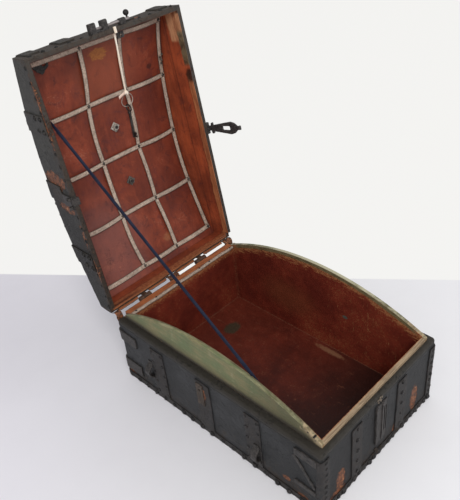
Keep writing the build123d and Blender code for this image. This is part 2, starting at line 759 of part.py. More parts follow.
def hollow_sides():
    """The space between the two end boards, tapered like the lid."""
    low = lid_half_width - LID_WALL + LINING
    high = low - LID_TAPER * 2 * lid_reach
    top = rim + 2 * lid_reach
    section = Polyline((-low, rim), (low, rim), (high, top), (-high, top), close=True)
    return extrude(Plane.XZ.offset(FAR / 4) * make_face(section), -FAR / 2)


def lug_holes():
    """Holes for the handle's two bolts, through the top board, leather and panel."""
    hole = Cylinder(LUG_SHANK_RADIUS + BOLT_HOLE_CLEARANCE, 2 * lid_reach)
    return Compound([(Pos(HANDLE_X, y, dome_spring + DOME_RISE) * hole).solid() for y in LUG_Y])


def hasp_notch():
    """Where the left hasp's strip is let into the rim."""
    half = BROKEN_WIDTH / 2 + BROKEN_LIFT
    depth = BROKEN_THICKNESS + 2 * BROKEN_LIFT
    outside = -lid_half_width - 1
    inside = -lid_half_width + LID_WALL + 1
    return block(outside, inside, BROKEN_HASP_Y - half, BROKEN_HASP_Y + half, rim - 1, rim + depth)


def make_lid_straps(cover):
    grown = lid_form(LID_STRAP, outer_offset + LID_STRAP, rim, LID_EDGE_RADIUS + LID_STRAP)
    skin = grown - cover - back_step(FAR)
    side_foot = rim + LID_SIDE_STRAP_FOOT
    end_foot = rim + LID_END_STRAP_FOOT
    half = STRAP_WIDTH / 2
    mount = hasp_mount_zone()
    cross = [skin & block(-FAR, FAR, y - half, y + half, side_foot, FAR) for y in LID_STRAP_Y]
    write("lid_cross_straps", opened(group(cross) - mount))
    wide = FRONT_STRAP_WIDTH / 2
    edge = LID_EDGE_STRAP_WIDTH / 2
    spans = [(x - wide, x + wide) for x in FRONT_STRAP_X]
    spans += [(x - edge, x + edge) for x in (-lid_edge_strap_x, lid_edge_strap_x)]
    grown = grown - cover
    between = block(-FAR, FAR, -FAR, FAR, end_foot, FAR)
    for y in LID_STRAP_Y:
        between -= block(-FAR, FAR, y - half, y + half, 0, FAR)
    back_foot = lid_back_rim + HINGE_LEAF_LENGTH
    between -= block(-FAR, FAR, lid_back - 1, FAR, 0, back_foot)
    long = [grown & block(x0, x1, -FAR, FAR, end_foot, FAR) & between for x0, x1 in spans]
    write("lid_long_straps", opened(group(long)))


def dome_place(x, y, offset):
    """A place on the dome, offset from the panel, and its outward direction."""
    radius = dome_radius + offset
    dy = y - dome_centre_y
    dz = sqrt(radius**2 - dy**2)
    return (x, y, dome_centre_z + dz), (0, dy / radius, dz / radius)


def side_place(side, y, z, grow):
    """A place on the lid's tapered side wall and its outward direction."""
    x = lid_half_width + grow - LID_TAPER * (z - rim)
    length = hypot(1, LID_TAPER)
    return (side * x, y, z), (side / length, 0, LID_TAPER / length)


def make_lid_nails():
    top = outer_offset + LID_STRAP
    half = STRAP_WIDTH / 2
    big = []
    first = lid_front + LID_NAILS_FRONT
    last = lid_back - LID_NAILS_BACK
    for y in spread(first, last, LID_NAIL_PITCH):
        if any(abs(abs(y - middle) - half) < NAIL_RADIUS for middle in LID_STRAP_Y):
            continue
        for x in (-lid_edge_strap_x - LID_NAIL_SHIFT, lid_edge_strap_x + LID_NAIL_SHIFT):
            big.append(dome_place(x, y, top))
    reach = half - NAIL_RADIUS - LID_NAIL_INSET
    for middle in (LID_STRAP_Y[0], LID_STRAP_Y[-1]):
        for side in (-1, 1):
            for lift in LID_NAIL_HEIGHTS:
                big.append(side_place(side, middle - reach, rim + lift, LID_STRAP))
                big.append(side_place(side, middle + reach, rim + lift, LID_STRAP))
    small = []
    for x in FRONT_STRAP_X:
        for y in spread(first + SMALL_NAILS_END, last - SMALL_NAILS_END, LID_NAIL_PITCH * 2):
            if not any(abs(abs(y - middle) - half) < STRAP_NAIL_RADIUS + 1 for middle in LID_STRAP_Y):
                small.append(dome_place(x, y, top))
    heads = nails(big, NAIL_RADIUS, NAIL_HEIGHT) + nails(small, STRAP_NAIL_RADIUS, STRAP_NAIL_HEIGHT)
    rim_row = []
    for y in spread(lid_front + RIM_NAILS_END, lid_back - RIM_NAILS_END, LID_NAIL_PITCH):
        if any(abs(y - middle) < half + STRAP_NAIL_RADIUS for middle in LID_STRAP_Y):
            continue
        for side in (-1, 1):
            rim_row.append(side_place(side, y, rim + RIM_NAIL_LIFT, 0))
    for x in spread(-lid_half_width + RIM_NAILS_END, lid_half_width - RIM_NAILS_END, LID_NAIL_PITCH):
        if not BOLT_START_X - BOLT_NAIL_ROOM < x < BOLT_END_X + BOLT_TRAVEL:
            rim_row.append(((x, lid_front, rim + RIM_NAIL_LIFT), (0, -1, 0)))
    heads += nails(rim_row, STRAP_NAIL_RADIUS, STRAP_NAIL_HEIGHT)
    write("lid_nails", opened(group(heads)))


def make_lattice():
    """Tapes on the panel with nails at their crossings."""
    under = lid_form(-LID_WALL, 0, rim - 5)
    skin = under - lid_form(20, -TAPE, rim - 60)
    half = TAPE_WIDTH / 2
    low = cross_tape_y[0] - half
    high = cross_tape_y[-1] + half
    bands = block(long_tape_x[0] - half, long_tape_x[0] + half, low, high, 0, FAR)
    for x in long_tape_x[1:]:
        bands += block(x - half, x + half, low, high, 0, FAR)
    for y in cross_tape_y:
        bands += block(long_tape_x[0] - half, long_tape_x[-1] + half, y - half, y + half, 0, FAR)
    write("tape_lattice", opened(skin & bands & block(-FAR, FAR, -FAR, FAR, dome_spring - TAPE_ZONE, FAR)))
    places = []
    for x in long_tape_x:
        for y in cross_tape_y:
            point, out = dome_place(x, y, -TAPE - LATTICE_NAIL_SEAT)
            places.append((point, tuple(-value for value in out)))
    write("lattice_nails", opened(group(nails(places, LATTICE_NAIL_RADIUS, LATTICE_NAIL_HEIGHT))))


def make_torn_bracket():
    skin = lid_form(-LID_WALL - 0.5, -TAPE, rim - 5) - lid_form(20, -TAPE - TORN_THICKNESS, rim - 60)
    outline = make_face(Polyline(*TORN_OUTLINE, close=True)) - Pos(*TORN_HOLE) * Circle(TORN_HOLE_RADIUS)
    plate = extrude(Pos(-lid_half_width, lid_front) * outline, FAR)
    write("torn_bracket", opened(skin & plate))


def make_handle_fittings(cover):
    cavity = lid_form(-LID_WALL, 0, rim - 5)
    lugs = []
    washers = []
    nuts = []
    holes = lug_holes()
    for y in LUG_Y:
        inside = dome_place(0, y, 0)[0][2]
        outside = dome_place(0, y, outer_offset)[0][2]
        bottom = inside - WASHER - NUT - BOLT_END
        shank = Pos(HANDLE_X, y, (bottom + handle_z) / 2) * Cylinder(LUG_SHANK_RADIUS, handle_z - bottom)
        flange = Pos(HANDLE_X, y, outside) * Cylinder(LUG_FLANGE_RADIUS, 2 * LUG_FLANGE)
        flange -= cover
        eye = Plane.XZ.offset(-y - LUG_EYE_WIDTH / 2) * Pos(HANDLE_X, handle_z) * Circle(LUG_EYE_RADIUS)
        lug = shank + flange + extrude(eye, LUG_EYE_WIDTH)
        bore = Cylinder(HANDLE_WIRE_RADIUS + RUNNING_FIT, 2 * LUG_EYE_WIDTH, rotation=(90, 0, 0))
        lugs.append(opened(lug - Pos(HANDLE_X, y, handle_z) * bore))
        square = Box(WASHER_SIDE, WASHER_SIDE, 4 * WASHER, rotation=(0, 0, 45))
        square = Pos(HANDLE_X, y, inside + WASHER) * square
        washers.append(opened((square & cavity) - holes))
        nut = Pos(HANDLE_X, y, inside - WASHER - NUT / 2) * Box(NUT_SIDE, NUT_SIDE, NUT)
        nuts.append(opened(nut - holes))
    write("handle_lugs", group(lugs))
    write("handle_washers", group(washers))
    write("handle_nuts", group(nuts))


def make_handle():
    """The bail lies flat over the crown towards -X, its ends turned in through the eyes."""
    x = HANDLE_X
    far = HANDLE_X - HANDLE_REACH
    low, high = LUG_Y
    path = FilletPolyline(
        (x, low + HANDLE_STUB), (x, low - HANDLE_SHOULDER), (far, low - HANDLE_SHOULDER),
        (far, high + HANDLE_SHOULDER), (x, high + HANDLE_SHOULDER), (x, high - HANDLE_STUB),
        radius=HANDLE_BEND
    )
    path = Pos(0, 0, handle_z) * path
    bail = sweep(Plane(origin=path @ 0, z_dir=path % 0) * Circle(HANDLE_WIRE_RADIUS), path=path)
    write("handle", opened(bail))


def hasp_mount_zone():
    """Where the middle cross strap stops short of the two hasp mounts."""
    top = rim + MOUNT_HEIGHT + MOUNT_GAP
    right = block(0, FAR, HASP_Y - STRAP_WIDTH, HASP_Y + STRAP_WIDTH, 0, top)
    left = block(-FAR, 0, BROKEN_HASP_Y - STRAP_WIDTH, BROKEN_HASP_Y + STRAP_WIDTH, 0, top)
    return group([right, left])


def along_hasp(radius, y0, y1):
    return Pos(hasp_x, (y0 + y1) / 2, hasp_z) * Cylinder(radius, y1 - y0, rotation=(90, 0, 0))


def hasp_mount(y):
    """The iron on the lid's right wall that carries a hasp's hinge."""
    half = MOUNT_WIDTH / 2
    inner = HASP_NECK_WIDTH / 2 + HINGE_SIDE_GAP
    foot = rim + MOUNT_FOOT
    skin = lid_form(MOUNT_THICKNESS, outer_offset, foot) - lid_form(0, outer_offset + 5, rim)
    plate = skin & block(0, FAR, y - half, y + half, foot, rim + MOUNT_HEIGHT)
    mount = plate - along_hasp(HASP_KNUCKLE_RADIUS + KNUCKLE_ROOM, y - inner, y + inner)
    for y0, y1 in ((y - half, y - inner), (y + inner, y + half)):
        mount += along_hasp(HASP_KNUCKLE_RADIUS, y0, y1)
    return mount - along_hasp(HASP_PIN_RADIUS + RUNNING_FIT, y - half - 1, y + half + 1)


def make_side_hasp():
    pin_half = MOUNT_WIDTH / 2 + HASP_PIN_END
    write("hasp_mount", opened(hasp_mount(HASP_Y)))
    write("hasp_pin", opened(along_hasp(HASP_PIN_RADIUS, HASP_Y - pin_half, HASP_Y + pin_half)))
    write("broken_hasp", opened(mirror(hasp_mount(BROKEN_HASP_Y), about=Plane.YZ) + broken_strip()))
    hinge = Axis((hasp_x, 0, hasp_z), (0, 1, 0))
    write("side_hasp", opened(hasp_arm().rotate(hinge, HASP_DROOP)))
    write("hasp_staple", make_hasp_staple())


def broken_strip():
    """Strip of the lost left hasp, let into the rim and turned up inside."""
    outside = -lid_half_width - MOUNT_THICKNESS + BROKEN_LIFT
    inside = -lid_half_width + LID_WALL + BROKEN_INSIDE
    y0 = BROKEN_HASP_Y - BROKEN_WIDTH / 2
    y1 = BROKEN_HASP_Y + BROKEN_WIDTH / 2
    low = rim + BROKEN_LIFT
    strip = block(outside, inside, y0, y1, low, low + BROKEN_THICKNESS)
    strip += block(inside - BROKEN_THICKNESS, inside, y0, y1, low, rim + BROKEN_TURN_UP)
    return strip


def hasp_arm():
    """The hasp's arm, straight out from the closed rim: neck, collar, slotted blade and curled tip."""
    start = hasp_x
    neck = HASP_NECK_WIDTH / 2
    collar = HASP_COLLAR_AT
    collar_half = HASP_COLLAR / 2
    step = collar_half + HASP_SHOULDER
    wide = HASP_WIDTH / 2
    slot_end = SLOT_START + SLOT_LENGTH
    edge = [
        (0.0, neck), (collar - step, neck), (collar - collar_half, HASP_COLLAR_WIDTH / 2),
        (collar + collar_half, HASP_COLLAR_WIDTH / 2), (collar + step, neck + HASP_SHOULDER),
        (SLOT_START - HASP_COLLAR, wide * 0.72), (slot_end + HASP_SHOULDER, wide),
        (slot_end + HASP_NECK_WIDTH, wide * 0.8), (HASP_LENGTH - HASP_COLLAR, HASP_CURL_WIDTH / 2),
        (HASP_LENGTH, HASP_CURL_WIDTH / 2)
    ]
    outline = [(start + r, HASP_Y + w) for r, w in edge] + [(start + r, HASP_Y - w) for r, w in reversed(edge)]
    slot = RectangleRounded(SLOT_LENGTH, SLOT_WIDTH, SLOT_CORNER)
    blade = make_face(Polyline(*outline, close=True)) - Pos(start + SLOT_START + SLOT_LENGTH / 2, HASP_Y) * slot
    low = hasp_z - HASP_THICKNESS / 2
    arm = extrude(Plane.XY.offset(low) * blade, HASP_THICKNESS)
    arm += along_hasp(HASP_KNUCKLE_RADIUS, HASP_Y - neck, HASP_Y + neck)
    curl = Cylinder(HASP_CURL_RADIUS, HASP_CURL_WIDTH, rotation=(90, 0, 0))
    arm += Pos(start + HASP_LENGTH, HASP_Y, low + HASP_CURL_RADIUS) * curl
    arm += block(
        start + collar - collar_half, start + collar + collar_half, HASP_Y - HASP_COLLAR_WIDTH / 2,
        HASP_Y + HASP_COLLAR_WIDTH / 2, hasp_z, low + HASP_THICKNESS + HASP_COLLAR_LIFT
    )
    return arm - along_hasp(HASP_PIN_RADIUS + RUNNING_FIT, HASP_Y - HASP_WIDTH, HASP_Y + HASP_WIDTH)


def along_bolt(radius, x0, x1):
    return Pos((x0 + x1) / 2, bolt_y, bolt_z) * Cylinder(radius, x1 - x0, rotation=(0, 90, 0))


def make_front_bolt():
    low = bolt_z - BLOCK_HALF_HEIGHT
    high = bolt_z + BLOCK_HALF_HEIGHT
    bore = BOLT_RADIUS + RUNNING_FIT
    left = CATCH_BLOCK_X - CATCH_BLOCK_WIDTH / 2
    right = CATCH_BLOCK_X + CATCH_BLOCK_WIDTH / 2
    catch = block(left, right, lid_front - CATCH_BASE, lid_front, low, high)
    for x0, x1 in ((left, left + CATCH_CHEEK), (right - CATCH_CHEEK, right)):
        cheek = block(x0, x1, lid_front - CATCH_BLOCK_OUT, lid_front, low, high)
        catch += fillet(cheek.edges().filter_by(Axis.X).sort_by(Axis.Y)[:2], BLOCK_EDGE_RADIUS)
    catch -= along_bolt(bore, BOLT_START_X - BOLT_END_ROOM, FAR)
    write("bolt_catch", opened(catch))
    left = KEEPER_X - KEEPER_WIDTH / 2
    keeper = block(left, left + KEEPER_WIDTH, lid_front - KEEPER_OUT, lid_front, low, high)
    keeper = fillet(keeper.edges().filter_by(Axis.X).sort_by(Axis.Y)[:2], BLOCK_EDGE_RADIUS)
    write("bolt_keeper", opened(keeper - along_bolt(bore, -FAR, FAR)))

    rod = along_bolt(BOLT_RADIUS, BOLT_START_X, BOLT_END_X)
    neck = Cylinder(KNOB_NECK_RADIUS, KNOB_NECK, rotation=(90, 0, 0))
    neck = Pos(KNOB_X, bolt_y - KNOB_NECK / 2, bolt_z) * neck
    ball = Pos(KNOB_X, bolt_y - KNOB_NECK, bolt_z) * Sphere(KNOB_RADIUS)
    write("front_bolt", opened(rod + neck + ball))


def make_latch_plate():
    """A bent plate with a hole, behind the front rim."""
    left = LATCH_X - LATCH_WIDTH / 2
    right = LATCH_X + LATCH_WIDTH / 2
    wall = lid_front + LID_WALL
    low = rim + LATCH_LIFT
    plate = block(left, right, wall, wall + LATCH_THICKNESS, low, low + LATCH_HEIGHT)
    plate += block(left, right, wall, wall + LATCH_LIP, low, low + LATCH_THICKNESS)
    hole_y = wall + LATCH_THICKNESS + (LATCH_LIP - LATCH_THICKNESS) / 2
    plate -= Pos(LATCH_X, hole_y, low) * Cylinder(LATCH_HOLE_RADIUS, 10)
    write("latch_plate", opened(plate))


# Ribbons and key


def make_stay_ribbon():
    """One flat ribbon, its face towards the side walls, from the arch to the lid's wall."""
    foot = Vector(-inner_x + STAY_CLEARANCE, STAY_FOOT_SHARE * half_depth, LEDGE_HEIGHT + STAY_FOOT_LIFT)
    head_x = -lid_half_width + LID_WALL + STAY_CLEARANCE
    head = open_point(head_x, STAY_HEAD_SHARE * half_depth, rim + STAY_HEAD_LIFT)
    along = (head - foot).normalized()
    face = along.cross(Vector(-1, 0, 0)).normalized()
    section = Plane(origin=foot, x_dir=face, z_dir=along) * Rectangle(STAY_WIDTH, STAY)
    print(f"stay ribbon {(head - foot).length:.1f} mm, from {foot} to {head}")
    write("stay_ribbon", extrude(section, (head - foot).length))


def make_key():
    top = open_point(RIBBON_X, lid_front + LID_WALL + RIBBON_WALL_GAP, rim + RIBBON_LIFT)
    x, y, z = top.X, top.Y, top.Z
    knot_z = z - RIBBON_LENGTH
    strip = Pos(x, y, (z + knot_z) / 2) * Box(RIBBON_WIDTH, RIBBON, RIBBON_LENGTH)
    knot = Pos(x, y, knot_z) * Sphere(KNOT_RADIUS)
    ring_z = knot_z - KNOT_RADIUS - RING_RADIUS + RING_WIRE_RADIUS
    ring = Pos(x, y, ring_z) * Torus(RING_RADIUS, RING_WIRE_RADIUS, rotation=(90, 0, 0))
    link = Torus(RING_RADIUS, RING_WIRE_RADIUS + LINK_GAP, rotation=(90, 0, 0))
    write("cream_ribbon", strip + knot - Pos(x, y, ring_z) * link)
    write("key_ring", ring)
    bow_z = ring_z - RING_RADIUS + RING_WIRE_RADIUS + KEY_WIRE_RADIUS + LINK_GAP - KEY_BOW_RADIUS
    bow = Pos(x, y, bow_z) * Torus(KEY_BOW_RADIUS, KEY_WIRE_RADIUS, rotation=(0, 90, 0))
    key_top = bow_z + KEY_BOW_RADIUS + KEY_WIRE_RADIUS
    key_bottom = key_top - KEY_LENGTH
    shank_top = bow_z - KEY_BOW_RADIUS
    shank = Pos(x, y, (shank_top + key_bottom) / 2) * Cylinder(KEY_SHANK_RADIUS, shank_top - key_bottom)
    collar = Cylinder(KEY_SHANK_RADIUS + KEY_COLLAR_RISE, KEY_COLLAR)
    collar = Pos(x, y, shank_top - KEY_COLLAR_DROP) * collar
    bit_low = key_bottom + KEY_BIT_LIFT
    bit = block(x - KEY_BIT / 2, x + KEY_BIT / 2, y, y + KEY_BIT_REACH, bit_low, bit_low + KEY_BIT_HEIGHT)
    middle = bit_low + KEY_BIT_HEIGHT / 2
    ward = block(x - KEY_BIT, x + KEY_BIT, y + KEY_BIT_REACH - KEY_WARD_DEPTH, FAR, middle, middle + KEY_WARD)
    bit -= Pos(0, 0, -KEY_WARD / 2) * ward
    print(f"ribbon top {top}, ring {ring_z:.1f}, key {key_top:.1f} to {key_bottom:.1f}")
    write("key", bow + shank + collar + bit)


os.makedirs("parts", exist_ok=True)
make_body_shell()
make_linings()
make_body_straps()
make_corner_irons()
make_body_nails()
make_lock_plate()
make_wall_loops()
make_catch_remains()
make_lid_hinges()
make_hinge_flaps()
lid_cover = make_lid_shell()
make_lid_straps(lid_cover)
make_lid_nails()
make_lattice()
make_torn_bracket()
make_handle_fittings(lid_cover)
make_handle()
make_side_hasp()
make_front_bolt()
make_latch_plate()
make_stay_ribbon()
make_key()
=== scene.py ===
from math import atan2, cos, hypot, pi, radians, sin, sqrt

import bmesh
import bpy
from mathutils import Matrix, Vector, noise

# An old leather-covered travel box, open, with a taped lattice inside its domed lid.
# Sizes are in millimetres here and become metres when a mesh is finished. The lid's pieces are
# shaped on the closed lid and then swung open.
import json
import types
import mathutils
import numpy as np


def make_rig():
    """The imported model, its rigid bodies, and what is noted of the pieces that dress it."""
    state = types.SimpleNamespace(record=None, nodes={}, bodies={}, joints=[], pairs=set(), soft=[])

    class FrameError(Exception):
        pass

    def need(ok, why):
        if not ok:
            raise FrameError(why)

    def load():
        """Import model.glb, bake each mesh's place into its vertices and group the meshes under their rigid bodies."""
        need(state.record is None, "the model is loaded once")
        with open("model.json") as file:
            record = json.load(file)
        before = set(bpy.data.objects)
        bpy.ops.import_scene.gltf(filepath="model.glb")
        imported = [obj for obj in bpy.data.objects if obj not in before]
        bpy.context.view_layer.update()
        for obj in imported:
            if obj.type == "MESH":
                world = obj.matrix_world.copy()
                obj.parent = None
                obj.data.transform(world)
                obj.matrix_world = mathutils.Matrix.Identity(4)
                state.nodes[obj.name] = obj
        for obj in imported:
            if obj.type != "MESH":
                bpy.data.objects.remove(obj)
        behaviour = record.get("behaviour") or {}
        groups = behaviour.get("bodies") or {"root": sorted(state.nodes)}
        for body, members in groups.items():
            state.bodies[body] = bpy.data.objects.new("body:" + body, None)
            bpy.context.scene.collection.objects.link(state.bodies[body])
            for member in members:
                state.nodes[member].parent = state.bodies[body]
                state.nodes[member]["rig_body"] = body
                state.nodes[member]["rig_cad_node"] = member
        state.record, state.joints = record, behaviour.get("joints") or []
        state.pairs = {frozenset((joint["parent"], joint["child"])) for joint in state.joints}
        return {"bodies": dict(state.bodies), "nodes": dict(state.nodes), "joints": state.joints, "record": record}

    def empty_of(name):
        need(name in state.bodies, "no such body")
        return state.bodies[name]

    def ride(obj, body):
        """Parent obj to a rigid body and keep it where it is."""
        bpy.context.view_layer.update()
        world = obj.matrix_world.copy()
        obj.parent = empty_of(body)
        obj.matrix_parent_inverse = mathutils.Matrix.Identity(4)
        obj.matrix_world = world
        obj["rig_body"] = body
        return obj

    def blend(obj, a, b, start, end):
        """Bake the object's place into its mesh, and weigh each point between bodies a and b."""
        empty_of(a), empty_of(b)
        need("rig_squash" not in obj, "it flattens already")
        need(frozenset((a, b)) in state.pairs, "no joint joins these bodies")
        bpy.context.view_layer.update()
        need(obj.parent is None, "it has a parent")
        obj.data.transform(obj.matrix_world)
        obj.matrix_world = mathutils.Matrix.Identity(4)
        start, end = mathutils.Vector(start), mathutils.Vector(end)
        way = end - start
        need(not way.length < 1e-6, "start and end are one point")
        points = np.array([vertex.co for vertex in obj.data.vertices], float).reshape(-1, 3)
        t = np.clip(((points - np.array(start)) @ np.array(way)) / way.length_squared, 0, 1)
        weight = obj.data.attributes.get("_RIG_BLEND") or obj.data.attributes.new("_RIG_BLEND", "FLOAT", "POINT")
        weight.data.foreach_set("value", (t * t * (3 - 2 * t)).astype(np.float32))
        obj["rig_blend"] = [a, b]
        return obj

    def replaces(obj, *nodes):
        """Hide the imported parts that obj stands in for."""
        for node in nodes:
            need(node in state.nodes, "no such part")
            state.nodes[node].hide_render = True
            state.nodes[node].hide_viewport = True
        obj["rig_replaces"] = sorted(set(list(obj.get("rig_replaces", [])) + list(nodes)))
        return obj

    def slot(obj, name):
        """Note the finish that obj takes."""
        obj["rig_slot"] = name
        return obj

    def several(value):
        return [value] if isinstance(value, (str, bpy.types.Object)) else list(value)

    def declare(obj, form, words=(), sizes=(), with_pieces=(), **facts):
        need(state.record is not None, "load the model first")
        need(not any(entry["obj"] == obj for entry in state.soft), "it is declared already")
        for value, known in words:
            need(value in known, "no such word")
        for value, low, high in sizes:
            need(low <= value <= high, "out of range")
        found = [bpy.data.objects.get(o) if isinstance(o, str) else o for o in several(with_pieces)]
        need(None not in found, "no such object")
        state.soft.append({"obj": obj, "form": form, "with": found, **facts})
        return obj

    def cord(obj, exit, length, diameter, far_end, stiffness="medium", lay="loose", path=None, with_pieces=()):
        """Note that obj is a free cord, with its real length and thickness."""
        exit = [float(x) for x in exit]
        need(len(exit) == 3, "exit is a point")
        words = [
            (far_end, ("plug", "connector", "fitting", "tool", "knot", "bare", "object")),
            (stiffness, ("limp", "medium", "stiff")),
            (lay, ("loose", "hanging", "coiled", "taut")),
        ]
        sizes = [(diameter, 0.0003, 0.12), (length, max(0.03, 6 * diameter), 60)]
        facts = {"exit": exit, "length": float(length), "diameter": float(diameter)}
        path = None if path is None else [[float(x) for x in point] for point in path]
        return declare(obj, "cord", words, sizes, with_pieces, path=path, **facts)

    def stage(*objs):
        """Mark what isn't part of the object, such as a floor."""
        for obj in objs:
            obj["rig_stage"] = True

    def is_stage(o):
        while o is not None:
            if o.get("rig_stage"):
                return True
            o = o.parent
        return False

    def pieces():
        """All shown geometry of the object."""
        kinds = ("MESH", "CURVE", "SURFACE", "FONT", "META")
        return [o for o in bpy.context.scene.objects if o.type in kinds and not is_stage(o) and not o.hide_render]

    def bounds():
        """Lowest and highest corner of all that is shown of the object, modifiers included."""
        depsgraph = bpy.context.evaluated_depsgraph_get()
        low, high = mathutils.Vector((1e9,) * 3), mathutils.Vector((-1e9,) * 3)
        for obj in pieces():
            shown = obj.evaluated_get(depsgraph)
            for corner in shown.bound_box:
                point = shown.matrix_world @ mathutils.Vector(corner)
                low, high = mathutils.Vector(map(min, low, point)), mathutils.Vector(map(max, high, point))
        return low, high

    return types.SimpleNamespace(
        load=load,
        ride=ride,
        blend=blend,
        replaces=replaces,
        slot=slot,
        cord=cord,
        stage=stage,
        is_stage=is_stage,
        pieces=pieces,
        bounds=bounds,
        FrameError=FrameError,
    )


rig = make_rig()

MM = 0.001
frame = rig.load()
cad_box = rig.bounds()

# Hinge line of the lid and how far it stands open
HINGE_Y = 206
HINGE_Z = 120
OPEN_ANGLE = 98.58

# Lid
RIM = 118.3
LID_FRONT = -201
LID_BACK = 200
LID_WALL = 7
DOME_CENTRE_Y = (LID_FRONT + LID_BACK) / 2
DOME_REACH = (LID_BACK - LID_FRONT) / 2 - LID_WALL
DOME_RISE = 35
DOME_SPRING = RIM + 34
DOME_RADIUS = (DOME_REACH**2 + DOME_RISE**2) / (2 * DOME_RISE)
DOME_CENTRE_Z = DOME_SPRING + DOME_RISE - DOME_RADIUS

# Arched tongues of the body
ARCH_CENTRE_Y = (192 - 192.5) / 2
ARCH_HALF = (192 + 192.5) / 2
ARCH_RISE = 44
ARCH_FOOT = 123.5
ARCH_RADIUS = (ARCH_HALF**2 + ARCH_RISE**2) / (2 * ARCH_RISE)
ARCH_CENTRE_Z = ARCH_FOOT + ARCH_RISE - ARCH_RADIUS

# Body: its ledge, the inner face of the arches' cloth, and the faces of its front and back walls
LEDGE = 118
CLOTH_INNER = 117.2
BODY_FRONT = -200.2
BACK_FACE = 201.1

# Brings the closed lid's places to the open lid
swing = (
    Matrix.Translation((0, HINGE_Y, HINGE_Z))
    @ Matrix.Rotation(radians(-OPEN_ANGLE), 4, "X")
    @ Matrix.Translation((0, -HINGE_Y, -HINGE_Z))
)


# Finishes


class Flow:
    """A value in a finish's nodes. Python's operators add its Math nodes."""

    def __init__(self, finish, socket):
        self.finish = finish
        self.socket = socket

    def maths(self, operation, *others, clamp=False):
        settings = {"operation": operation, "use_clamp": clamp}
        return self.finish.node("ShaderNodeMath", settings, (self, *others))

    def __add__(self, other):
        return self.maths("ADD", other)

    def __mul__(self, other):
        return self.maths("MULTIPLY", other)

    def __sub__(self, other):
        return self.maths("SUBTRACT", other)

    def __rsub__(self, other):
        return self * -1 + other

    __radd__ = __add__
    __rmul__ = __mul__

    def size(self):
        return self.maths("ABSOLUTE")

    def highest(self, other):
        return self.maths("MAXIMUM", other)

    def held(self):
        """Kept between 0 and 1."""
        return self.maths("ADD", 0, clamp=True)

    def rise(self, low, high):
        """0 below low and 1 above high, smooth between; it falls where low is above high."""
        settings = {"interpolation_type": "SMOOTHSTEP"}
        if low <= high:
            return self.finish.node("ShaderNodeMapRange", settings, (self, low, high, 0, 1))
        return self.finish.node("ShaderNodeMapRange", settings, (self, high, low, 1, 0))

    def within(self, low, high, soft):
        """1 between low and high, 0 outside them."""
        return self.rise(low - soft, low + soft) * self.rise(high + soft, high - soft)


